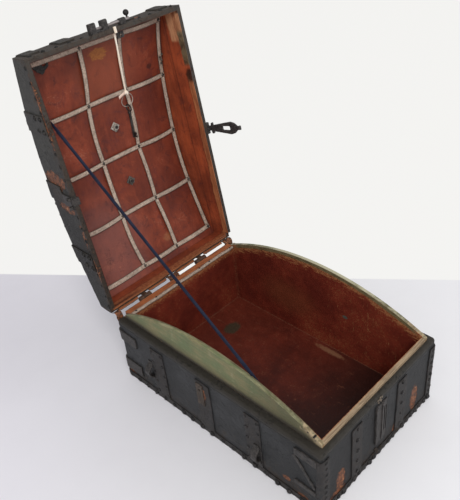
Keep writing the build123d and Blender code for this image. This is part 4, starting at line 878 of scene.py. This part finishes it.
def forged_heads(node_name, finish, wider, taller, sag, body="body", more=()):
    """Irregular heads in place of the frame's plain ones."""
    on_lid = body != "body"
    hold = lid_hold if on_lid else body_hold
    shape = bmesh.new()
    for centre, out, radius in nail_places(node_name, on_lid) + list(more):
        centre = centre + uneven(centre, sag, 0) * hold(centre)
        size = wider * (1 + 0.45 * noise.noise(centre * 0.77))
        height = taller * radius * (1 + 0.8 * noise.noise(centre * 1.3))
        add_head(shape, centre, out, radius * size, height)
    piece = finished(shape, "forged_" + node_name, finish, body, on_lid)
    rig.replaces(piece, node_name)


def make_lumps(name, finish, place, lumps):
    """A cluster of rusted heads on the front wall, each given by its place and size."""
    shape = bmesh.new()
    out = Vector((0, -1, 0.1)).normalized()
    for x, z, size in lumps:
        add_head(shape, place + Vector((x, 0, z)), out, size, 0.75 * size)
    finished(shape, name, finish, "body")


# Camera and studio


# Found from the corners of the box in the photo: a place in millimetres, angles in degrees, and the
# focal length as a share of the picture's height
CAMERA_PLACE = (-516.7, -503.8, 778.7)
CAMERA_TURN = -42.21
CAMERA_LIFT = 35.32
CAMERA_ROLL = -6.42
CAMERA_FOCUS = 648.4 / 500

# The table's far edge, seen from above: its direction outwards and how far out it lies
EDGE_X = 0.8071
EDGE_Y = 0.5904
EDGE_REACH = 271.7
BACKDROP = (0.91, 0.905, 0.885, 1)


def make_camera():
    turn, lift, roll = radians(CAMERA_TURN), radians(CAMERA_LIFT), radians(CAMERA_ROLL)
    back = Vector((sin(turn) * cos(lift), -cos(turn) * cos(lift), sin(lift)))
    right = (-back).cross(Vector((0, 0, 1))).normalized()
    up = right.cross(-back)
    right, up = cos(roll) * right + sin(roll) * up, -sin(roll) * right + cos(roll) * up
    place = Matrix.Translation(Vector(CAMERA_PLACE) * MM)
    camera = bpy.data.objects.new("camera", bpy.data.cameras.new("camera"))
    camera.matrix_world = place @ Matrix((right, up, back)).transposed().to_4x4()
    camera.data.sensor_fit = "VERTICAL"
    camera.data.sensor_height = 36
    camera.data.lens = 36 * CAMERA_FOCUS
    camera.data.clip_start = 0.02
    bpy.context.scene.collection.objects.link(camera)
    bpy.context.scene.camera = camera


def area_light(name, place, aim, size, power, tint=(1, 1, 1)):
    """A round lamp, in metres and watts, that points at a place."""
    lamp = bpy.data.lights.new(name, "AREA")
    lamp.shape = "DISK"
    lamp.size = size
    lamp.energy = power
    lamp.color = tint
    light = bpy.data.objects.new(name, lamp)
    light.location = place
    light.rotation_euler = (Vector(aim) - Vector(place)).to_track_quat("-Z", "Y").to_euler()
    bpy.context.scene.collection.objects.link(light)


def mix_shaders(tree, factor, first, second, output):
    """Two shaders, mixed by a factor, linked to a new output node."""
    pick = tree.nodes.new("ShaderNodeMixShader")
    for socket, source in zip(pick.inputs, (factor, first.outputs[0], second.outputs[0])):
        tree.links.new(source, socket)
    tree.links.new(pick.outputs[0], tree.nodes.new(output).inputs[0])


def make_world():
    """Soft even light, and a backdrop that only the camera sees."""
    world = bpy.data.worlds.new("studio")
    world.use_nodes = True
    nodes = world.node_tree.nodes
    nodes.clear()
    seen = nodes.new("ShaderNodeBackground")
    seen.inputs["Color"].default_value = BACKDROP
    light = nodes.new("ShaderNodeBackground")
    light.inputs["Color"].default_value = (0.97, 0.98, 1, 1)
    light.inputs["Strength"].default_value = 0.56
    rays = nodes.new("ShaderNodeLightPath").outputs["Is Camera Ray"]
    mix_shaders(world.node_tree, rays, light, seen, "ShaderNodeOutputWorld")
    bpy.context.scene.world = world


def make_floor():
    """A pale table whose far edge crosses the view; beyond it everything is near white."""
    f = Finish("table_top")
    across = f.x * EDGE_Y - f.y * EDGE_X
    beyond = f.x * EDGE_X + f.y * EDGE_Y - EDGE_REACH
    # Painted light: the table paler towards the right of the view.
    f.colour = f.mix(across.rise(-700, 250), (0.8, 0.778, 0.838), (0.85, 0.845, 0.87))
    f.coat(f.noise(0.02, 3, 0.5).rise(0.4, 0.8) * 0.05, (0.6, 0.58, 0.62))
    shader = f.tree.nodes.new("ShaderNodeBsdfPrincipled")
    f.feed(shader, {"Base Color": f.colour, "Roughness": 0.85, "Specular IOR Level": 0.1}.items())
    glow = f.tree.nodes.new("ShaderNodeEmission")
    glow.inputs["Color"].default_value = BACKDROP
    rays = f.node("ShaderNodeLightPath", {}, (), "Is Camera Ray")
    lit = beyond.rise(-1.5, 1.5) * rays * 0.97
    mix_shaders(f.tree, lit.socket, shader, glow, "ShaderNodeOutputMaterial")
    shape = bmesh.new()
    bmesh.ops.create_grid(shape, x_segments=8, y_segments=8, size=30000)
    shift(shape, (0, 0, -0.3))
    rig.stage(finished(shape, "table", f, None))


# Ribbons


STAY_FOOT = (-114.1, -92, 150)
STAY_HEAD = (-126.1, 255.03, 436.22)
STAY_WIDTH = 6.4
STAY_TWIST = 1.05
RIBBON_TOP = (12.8, 269.88, 514.59)
RIBBON_KNOT_Z = 426.6
RIBBON_WIDTH = 4


def make_stay_ribbon(finish):
    """The blue ribbon that holds the lid, drawn tight, its face turning a little along the way."""
    foot, head = Vector(STAY_FOOT), Vector(STAY_HEAD)
    length = (head - foot).length
    along = (head - foot).normalized()
    face = along.cross(Vector((-1, 0, 0))).normalized()
    side = along.cross(face)

    def lay(u, v):
        middle = min(1, max(0, min(u - 12, length - 6 - u) / 40))
        twist = STAY_TWIST * middle * (1 + 0.12 * sin(u / 31))
        spread = face * cos(twist) + side * sin(twist)
        curl = side * cos(twist) - face * sin(twist)
        wave = 0.35 * sin(v * 1.1 + u / 23) * middle
        return foot + along * u + spread * v * (1 - 0.36 * middle) + curl * wave

    piece = strip("blue_ribbon", finish, None, length, STAY_WIDTH, lay, 120, 6, thickness=0.4)
    path = [(foot + along * length * i / 8) * MM for i in range(9)]
    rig.replaces(piece, "stay_ribbon")
    return piece, path, foot, head, length


def make_key_ribbon(finish):
    """The cream ribbon that carries the key, tied from the front rim."""
    x, y, top = RIBBON_TOP
    length = top + 1.2 - RIBBON_KNOT_Z

    def lay(u, v):
        narrow = 1 - 0.38 * min(1, u / 60)
        turn = 0.35 * sin(2.2 * pi * u / length)
        fold = 0.5 * sin(v * 1.6 + u / 12)
        return x + v * narrow * cos(turn), y + v * narrow * sin(turn) + fold, top + 1.2 - u

    piece = strip("key_ribbon", finish, "lid", length, RIBBON_WIDTH, lay, 44, 6)
    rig.replaces(piece, "cream_ribbon")
    path = [Vector((x, y, top + 1.2 - length * i / 8)) * MM for i in range(9)]
    return piece, path, length


def make_ribbon_over_rim(finish):
    """The ribbon's upper end, laid over the front rim and tucked under the bolt."""
    inner = LID_FRONT + LID_WALL + 0.6
    outer = LID_FRONT - 0.9
    turns = [(inner, RIM + 7), (inner, RIM - 0.17), (outer, RIM - 0.17), (outer, RIM + 2.4)]
    steps = [hypot(b[0] - a[0], b[1] - a[1]) for a, b in zip(turns, turns[1:])]

    def lay(u, v):
        for (y0, z0), (y1, z1), step in zip(turns, turns[1:], steps):
            if u <= step + 0.001:
                share = u / step
                return RIBBON_TOP[0] - 1 + v, y0 + (y1 - y0) * share, z0 + (z1 - z0) * share
            u -= step
        return RIBBON_TOP[0] - 1 + v, outer, RIM + 2.4

    strip("ribbon_over_rim", finish, "lid", sum(steps), RIBBON_WIDTH + 0.8, lay, 32, 4, True, 0.22)


def make_knot(finish):
    """The knot at the ribbon's foot: two lumps and a loop drawn through the ring."""
    x, y, _ = RIBBON_TOP
    shape = bmesh.new()
    for aside, radius in (((0, 0, 0.6), 2.9), ((1.5, -0.7, -1.3), 2.3), ((-1.7, -0.5, -0.4), 2.2)):
        made = bmesh.ops.create_icosphere(shape, subdivisions=3, radius=radius)["verts"]
        for vert in made:
            fold = 0.35 * sin(vert.co.x * 3.1 + vert.co.z * 1.7)
            vert.co += vert.co.normalized() * fold
        shift(shape, Vector((x, y, RIBBON_KNOT_Z)) + Vector(aside), made)
    return finished(shape, "ribbon_knot", finish, "lid")


def make_ribbon_tail(finish):
    """The ribbon's short free end, which stands off to the left of the knot."""
    x, y, _ = RIBBON_TOP
    start = Vector((x - 1, y - 1.2, RIBBON_KNOT_Z + 1))
    way = Vector((-0.93, -0.12, -0.1))

    def lay(u, v):
        droop = Vector((0, 0, -0.012 * u * u))
        spread = Vector((0.1, 0.35, 0.93)) * v * (0.75 + 0.35 * u / 15)
        return start + way * u + droop + spread + Vector((0, -0.5 * sin(u / 3), 0))

    return strip("ribbon_tail", finish, "lid", 15, 4.2, lay, 16)


def spun(shape, profile, steps=24):
    """A closed line of (radius, height) points turned round +Z."""
    points = [shape.verts.new((radius, 0, height)) for radius, height in profile]
    spin(shape, points, [shape.edges.new(pair) for pair in zip(points, points[1:])], steps)


def spun_ring(shape, radius, wire, steps):
    """A wire ring in the XZ plane."""
    made = bmesh.ops.create_circle(shape, cap_ends=False, segments=10, radius=wire)["verts"]
    shift(shape, (radius, 0, 0), made)
    quarter_turn(shape, "X", (radius, 0, 0), made)
    spin(shape, made, [line for line in shape.edges if line.verts[0] in made], steps)
    quarter_turn(shape, "X")


RING_Z = 414.8
KEY_TOP = 408.3
KEY_FOOT = 353.3


def make_ring(finish):
    """The bent wire ring that joins the ribbon and the key."""
    shape = bmesh.new()
    spun_ring(shape, 10, 0.62, 48)
    for vert in shape.verts:
        around = atan2(vert.co.z, vert.co.x)
        vert.co *= 1 + 0.035 * sin(2 * around + 0.6)
        vert.co.y += 0.7 * sin(around * 2)
    shift(shape, (*RIBBON_TOP[:2], RING_Z))
    closed(shape)
    piece = finished(shape, "wire_ring", finish, "lid")
    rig.replaces(piece, "key_ring")
    return piece


def make_iron_key(finish):
    """The key: a flattened bow, a collared shank that tapers, and a bit with a ward cut in it."""
    shape = bmesh.new()
    spun_ring(shape, 5, 1.25, 32)
    quarter_turn(shape, "Z")
    bmesh.ops.scale(shape, vec=(0.8, 1.15, 1), verts=shape.verts)
    shift(shape, (0, 0, KEY_TOP - 6.3))
    neck = KEY_TOP - 11.2
    spun(shape, [
        (0, neck + 0.6), (1.6, neck + 0.4), (1.9, neck - 1.2), (2.9, neck - 1.8), (2.9, neck - 3),
        (2, neck - 3.8), (1.9, neck - 16), (1.7, KEY_FOOT + 12), (1.9, KEY_FOOT + 1),
        (1.2, KEY_FOOT), (0, KEY_FOOT - 0.4)
    ])
    outline = (
        (0, 10), (-8.2, 10), (-8.2, 6.6), (-5.4, 6.6), (-5.4, 5), (-8.2, 5), (-8.2, 2), (0, 2)
    )
    corners = [shape.verts.new((-0.9, y, KEY_FOOT + z)) for y, z in outline]
    bit = shape.faces.new(corners)
    drawn = bmesh.ops.extrude_face_region(shape, geom=[bit])["geom"]
    moved = [part for part in drawn if isinstance(part, bmesh.types.BMVert)]
    shift(shape, (1.8, 0, 0), moved)
    shift(shape, (*RIBBON_TOP[:2], 0))
    closed(shape)
    piece = finished(shape, "iron_key", finish, "lid")
    soften = piece.modifiers.new("worn edges", "BEVEL")
    soften.width = 0.35 * MM
    soften.segments = 2
    soften.limit_method = "ANGLE"
    soften.angle_limit = radians(40)
    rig.replaces(piece, "key")
    return piece


# Tapes


LONG_TAPES = (-114, -31.3, 40.5, 116)
CROSS_TAPES = (-184.8, -98, -3.6, 88.5, 178)
TAPE_WIDTH = 7.4
BACK_INNER = 183
BACK_TOP = 124


def slack(at, stops, key):
    """How a tape bows off the panel and wanders sideways between two of its nails."""
    for start, end in zip(stops, stops[1:]):
        if start <= at <= end:
            share = (at - start) / (end - start)
            loose = 0.5 + 0.5 * sin(3.3 * start + key)
            arch = sin(pi * share)
            return 0.5 + (0.7 + 2.4 * loose) * arch, 2.4 * arch * sin(1.7 * end + 2.1 * key)
    return 0.5, 0


def make_long_tape(x, number, finish):
    """A tape from the lid's front to its back; the outer ones bow only inwards."""
    start, end = CROSS_TAPES[0] - TAPE_WIDTH / 2, CROSS_TAPES[-1] + TAPE_WIDTH / 2
    inside = -1 if x > 0 else 1
    outer = abs(x) > 100

    def lay(u, v):
        y = start + u
        rise, aside = slack(y, CROSS_TAPES, number * 1.9)
        aside = inside * abs(aside) if outer else aside
        return x + v + aside, y, dome_height(y, -rise - 0.06 * abs(v))

    strip(f"long_tape_{number}", finish, "lid", end - start, TAPE_WIDTH, lay, 150, on_lid=True)


def make_cross_tape(y, number, finish):
    """A tape from side to side, over the long ones."""
    start, end = LONG_TAPES[0] - TAPE_WIDTH / 2, LONG_TAPES[-1] + TAPE_WIDTH / 2

    def lay(u, v):
        x = start + u
        rise, aside = slack(x, LONG_TAPES, number * 2.7)
        return x, y + v + aside * 0.5, dome_height(y + v, -rise - 0.75)

    strip(f"cross_tape_{number}", finish, "lid", end - start, TAPE_WIDTH, lay, 96, on_lid=True)


def make_back_tape(finish):
    """The tape folded over the back board's inner edge."""

    def lay(u, v):
        x = -114.8 + u
        wander = 0.5 * sin(u / 13) + 0.3 * sin(u / 5.1)
        on_top = v + wander + 0.4
        if on_top > 0:
            return x, BACK_INNER + on_top, BACK_TOP + 0.5
        return x, BACK_INNER - 0.45, BACK_TOP + 0.45 + on_top

    piece = strip("back_edge_tape", finish, "body", 229.6, 7, lay, 110, 8)
    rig.replaces(piece, "back_rim_tape")


def make_seat(shape, centre, out, side, thick):
    """A small square washer under a tape's nail."""
    made = bmesh.ops.create_cube(shape, size=1)["verts"]
    turn = Matrix.Rotation(pi / 4 + 0.4 * noise.noise(centre), 4, "Z")
    size = Matrix.Diagonal((side, side, thick, 1))
    bmesh.ops.transform(shape, matrix=standing(centre, out) @ turn @ size, verts=made)


def make_lattice(finish, iron_finish):
    """All tapes of the lid, a nail with its washer at each crossing, and four loose nails."""
    for number, x in enumerate(LONG_TAPES):
        make_long_tape(x, number, finish)
    for number, y in enumerate(CROSS_TAPES):
        make_cross_tape(y, number, finish)
    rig.replaces(bpy.data.objects["cross_tape_0"], "tape_lattice")
    shape = bmesh.new()
    for x in LONG_TAPES:
        for y in CROSS_TAPES:
            centre = Vector((x, y, dome_height(y, -1.6)))
            out = -Vector((0, (y - DOME_CENTRE_Y) / DOME_RADIUS, 1)).normalized()
            make_seat(shape, centre, out, 4.6, 0.6)
            add_head(shape, centre + out * 0.3, out, 1.7, 1.2)
    for x, y in ((116, -122), (113.5, -127), (117.5, -131), (115, -117.5)):
        centre = Vector((x, y, dome_height(y, -3.2)))
        add_head(shape, centre, Vector((0, 0, -1)), 2, 1.8)
    piece = finished(shape, "tape_nails", iron_finish, "lid", True)
    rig.replaces(piece, "lattice_nails")


LIP_FOOT = 127
LIPS = ((-119.4, -81), (-57.2, -20), (3.8, 44.2), (67.8, 111.4))


def make_back_lip(finish):
    """Torn strips of the lid's edge that hang below its raised back rim, between the hinges."""
    for number, (start, end) in enumerate(LIPS):

        def lay(u, v):
            x = start + u
            torn = noise.noise(Vector((x * 0.09, number, 0)))
            torn += 0.5 * noise.noise(Vector((x * 0.4, number, 4)))
            ends = min(1, 0.6 + u / 5, 0.6 + (end - start - u) / 5)
            foot = LIP_FOOT - (4 - v) * ends * (1 + 0.14 * torn)
            return x, BACK_FACE + 0.35 * noise.noise(Vector((x * 0.2, v * 0.3, 2))), foot

        strip(f"back_lip_{number}", finish, "lid", end - start, 8, lay, 48, 5, True, 1.6)


def make_back_tape_nails(finish):
    """The few nails left in the back board's tape."""
    shape = bmesh.new()
    for x in (-104, -62, -18, 34, 58, 108):
        add_head(shape, Vector((x, BACK_INNER + 2.2, BACK_TOP + 0.7)), Vector((0, 0, 1)), 1.7, 1.2)
    finished(shape, "back_tape_nails", finish, "body")


scene = bpy.context.scene
scene.view_settings.view_transform = "Standard"
make_camera()
make_world()
area_light("key", (-1.15, -1.35, 2.1), (0, 0, 0.15), 1.3, 37, (1, 0.985, 0.96))
area_light("fill", (1.5, -0.9, 1.3), (0, 0, 0.1), 1.2, 8)
make_floor()

blue_silk, cream_silk, pink_silk = (ribbon(*settings) for settings in (
    ("blue_silk", "blue_ribbon", (0.006, 0.009, 0.023), (0.015, 0.02, 0.042), STAY_WIDTH),
    ("cream_silk", "cream_ribbon", (0.8, 0.67, 0.53), (0.93, 0.85, 0.75), RIBBON_WIDTH),
    ("pink_silk", "cream_ribbon", (0.62, 0.42, 0.33), (0.74, 0.58, 0.48), RIBBON_WIDTH),
))
stay, stay_path, stay_foot, stay_head, stay_length = make_stay_ribbon(blue_silk)
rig.blend(stay, "body", "lid", start=stay_foot * MM, end=stay_head * MM)
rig.cord(
    stay, exit=stay_foot * MM, length=stay_length * MM, diameter=STAY_WIDTH * MM, far_end="object",
    stiffness="limp", lay="taut", path=stay_path
)
key_ribbon, key_path, key_ribbon_length = make_key_ribbon(cream_silk)
key_iron = iron("key_iron", False, (0.022, 0.019, 0.017), 0.35, 0.36, 2)
ring_wire = iron("ring_wire", False, (0.2, 0.175, 0.15), 0.35, 0.34, slot_name="grey_iron")
knot = make_knot(cream_silk)
tail = make_ribbon_tail(pink_silk)
wire_ring = make_ring(ring_wire)
hung_key = make_iron_key(key_iron)
make_ribbon_over_rim(cream_silk)
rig.cord(
    key_ribbon, exit=key_path[0], length=key_ribbon_length * MM, diameter=RIBBON_WIDTH * MM,
    far_end="knot", stiffness="limp", lay="hanging", path=key_path,
    with_pieces=[knot, tail, wire_ring, hung_key]
)


# Finishes, and the pieces that wear them

body_hide = leather("body_hide", wall=True, worn_spots=[
    ((84, -200, 36), (13, 8, 34)),
    ((-92, -200, 34), (13, 8, 26)),
    ((-98, -200, 12), (22, 8, 12)),
    ((37, -200, 14), (9, 8, 14)),
    ((-133, 190, 8), (8, 18, 9)),
    ((-133, -142, 26), (8, 9, 7)),
    ((-133, -170, 10), (8, 14, 8)),
    ((133, -20, 30), (8, 20, 16)),
    ((133, 150, 16), (8, 26, 12)),
    ((-40, 200, 30), (30, 8, 14)),
    ((60, 200, 20), (20, 8, 20)),
], rust=0.8, tint=(0.96, 1, 1.08))
lid_hide = leather("lid_hide", True, [
    ((-128, -24, 158), (20, 19, 44)),
    ((-130, 20, 150), (20, 12, 36)),
    ((-134, -96, 122), (12, 28, 5)),
    ((-134, 62, 126), (12, 26, 7)),
    ((-134, -140, 121), (12, 60, 3.6)),
    ((-134, 120, 120), (12, 30, 2.6)),
    ((50, -200, 138), (30, 10, 10)),
    ((100, -60, 195), (22, 30, 30)),
    ((-60, 90, 200), (26, 18, 30)),
    ((134, 60, 140), (12, 26, 10)),
], tint=(1.03, 1, 0.88))
strap_hide = leather("strap_hide", worn_spots=[
    ((-135, 9, 84), (6, 8, 22)),
    ((135, -86, 40), (6, 12, 16)),
], light=0.85, rust=0.35, tint=(0.97, 0.99, 1.06))
lid_strap_hide = leather("lid_strap_hide", True, [
    ((-134, -6, 136), (12, 20, 12)),
    ((-20, -111, 200), (30, 12, 30)),
], light=0.92, rust=0.5, tint=(1.02, 1, 0.9))
scrap_hide = leather("scrap_hide", worn_spots=[
    ((-126, 203, 122), (14, 9, 14)),
    ((121, 203, 122), (14, 9, 14)),
    ((-8, 203, 124), (14, 6, 8)),
], rust=1, tint=(5.5, 2.3, 1.2))

# Colours that several finishes share; the wood's are its pale and its dark
BLACK = (0.016, 0.014, 0.013)
BROWN = (0.055, 0.028, 0.016)
RED_WOOD = (0.36, 0.12, 0.04), (0.16, 0.05, 0.02)
black_iron = iron("black_iron", False, BLACK)
lid_iron = iron("lid_iron", True, BLACK)
star_iron = iron("star_iron", False, (0.11, 0.088, 0.066), 0.7, 0.5)
rusty_iron = iron("rusty_iron", False, (0.026, 0.019, 0.014), 1, 0.6)
nail_iron = iron("nail_iron", False, (0.013, 0.012, 0.012), 0.5, 0.4)
lid_nail_iron = iron("lid_nail_iron", True, (0.014, 0.013, 0.012), 0.5, 0.4)
tape_nail_iron = iron(
    "tape_nail_iron", True, (0.06, 0.054, 0.046), 0.4, 0.42, 1.6, slot_name="grey_iron")
grey_iron = iron("grey_iron", True, (0.16, 0.145, 0.125), 0.25, 0.36, 1, (-20, 10), "grey_iron")
torn_iron = iron("torn_iron", True, (0.012, 0.011, 0.01), 0.3, 0.55, slot_name="grey_iron")

# How far the boards have moved with age
SAG = 0.9

# Frame pieces, their finish, the size of their cells, how far their edges are rounded, sag and grit
for node_names, finish, *wear in (
    ("body_leather", body_hide, 7, 0.8, SAG, 0.25, "body", body_hold),
    ("left_wall_straps right_wall_straps front_wall_straps front_corner_straps bottom_band",
     strap_hide, 5, 0.7, SAG, 0.5, "body", body_hold),
    ("hinge_flaps", scrap_hide, 2.5, 0.3, 0.6, 1.1),
    ("corner_irons lock_plate wall_loops", black_iron, 3.5, 0.5, SAG, 0.3, "body", body_hold),
    ("catch_remains", rusty_iron, 3, 0.4, SAG, 0.6, "body", body_hold),
    ("lid_leather", lid_hide, 7, 0.8, SAG, 0.25, "lid", lid_hold),
    ("lid_cross_straps lid_long_straps", lid_strap_hide, 6, 0.8, SAG, 0.6, "lid", lid_hold),
    ("hasp_mount broken_hasp bolt_catch bolt_keeper latch_plate",
     lid_iron, 2.5, 0.5, 0, 0.22, "lid"),
    ("torn_bracket", torn_iron, 2, 0.3, 0, 1.5, "lid"),
    ("handle_washers handle_nuts", grey_iron, 2, 0.35, 0, 0.15, "lid"),
    ("side_hasp", lid_iron, 2.5, 0.45, 0, 0.2, "side_hasp"),
):
    for node_name in node_names.split():
        aged(node_name, finish, *wear)

# Heads along the edges of the lid's dome
CROWN_X = 122.6
CROWN_RISE = 10.2
CROWN_START = -186
CROWN_STEP = 19.4
CROWN_RADIUS = 2.9
crown = []
for step in range(20):
    y = CROWN_START + CROWN_STEP * step
    for side in (-1, 1):
        place = Vector((side * CROWN_X, y + 2.5 * side, dome_height(y, CROWN_RISE) - 0.4))
        crown.append((place, Vector((side * 0.6, 0, 0.8)).normalized(), CROWN_RADIUS))
forged_heads("bottom_nails", nail_iron, 0.98, 0.66, SAG)
forged_heads("strap_nails", nail_iron, 1.1, 0.7, SAG)
forged_heads("lid_nails", lid_nail_iron, 1.15, 0.95, SAG, "lid", crown)
make_lumps("lock_star", star_iron, Vector((-8, BODY_FRONT, 112.4)), (
    (0, 0, 2.6), (-4.4, 1, 1.9), (4.2, 1.6, 1.9), (-2.6, -4.2, 1.8), (2.8, -3.8, 1.8),
    (0.4, 3.2, 1.6),
))
make_lumps("rust_lumps", rusty_iron, Vector((0, BODY_FRONT - 0.6, 6)), (
    (-16, -1, 3.4), (-10, 3, 3.8), (-13, 9, 3), (-5, -2, 3.2), (-2, 4, 3), (-19, 4, 2.6),
    (34, 0, 3.2), (39, 3, 3.4), (44, -1, 2.8), (37, 8, 2.6),
))
make_lattice(tape("lattice_tape", True, 0), tape_nail_iron)
make_back_tape(tape("back_tape", False, 1))
make_back_tape_nails(nail_iron)
make_back_lip(bare_wood("lip_wood", True, *RED_WOOD, "x", BACK_FACE))

# Frame pieces that keep their own shape and only take a finish
for node_names, finish in (
    ("bottom_board left_side_board right_side_board",
     bare_wood("board_wood", False, (0.42, 0.28, 0.15), (0.2, 0.115, 0.055), "y")),
    ("front_board", bare_wood("rim_wood", False, (0.38, 0.275, 0.17), (0.2, 0.135, 0.08))),
    ("back_board", bare_wood(
        "hinge_wood", False, (0.4, 0.125, 0.038), (0.17, 0.048, 0.016), "x", BACK_FACE - 2.6)),
    ("lid_top_board lid_left_board lid_right_board",
     bare_wood("lid_end_wood", True, (0.1, 0.045, 0.022), (0.05, 0.022, 0.012), "y")),
    ("lid_front_board lid_back_board", bare_wood("lid_board_wood", True, *RED_WOOD)),
    ("bottom_leather", body_hide),
    ("left_arch_facing", green_cloth("green_cloth_left", "left")),
    ("right_arch_facing", green_cloth("green_cloth_right", "right")),
    ("floor_lining", oxblood("floor_paint", True)),
    ("end_linings side_linings", oxblood("inside_paint")),
    ("lid_panel", lid_paint("panel_paint")),
    ("lid_wall_linings", lid_paint("lid_wall_paint", True)),
    ("hasp_staple", black_iron),
    ("body_hinge_leaves hinge_pins", iron("hinge_iron", False, BROWN, 0.9, 0.6)),
    ("lid_hinge_leaves", iron("lid_hinge_iron", True, BROWN, 0.9, 0.6)),
    ("handle_lugs hasp_pin handle", lid_iron),
    ("front_bolt", bolt_steel("polished_bolt")),
):
    for node_name in node_names.split():
        materials = frame["nodes"][node_name].data.materials
        materials.clear()
        materials.append(finish.material)

visual_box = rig.bounds()
with open("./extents.json", "w") as sizes:
    rows = {"cad": [list(corner) for corner in cad_box], "visual": [list(corner) for corner in visual_box]}
    sizes.write(str(rows).replace("'", '"'))
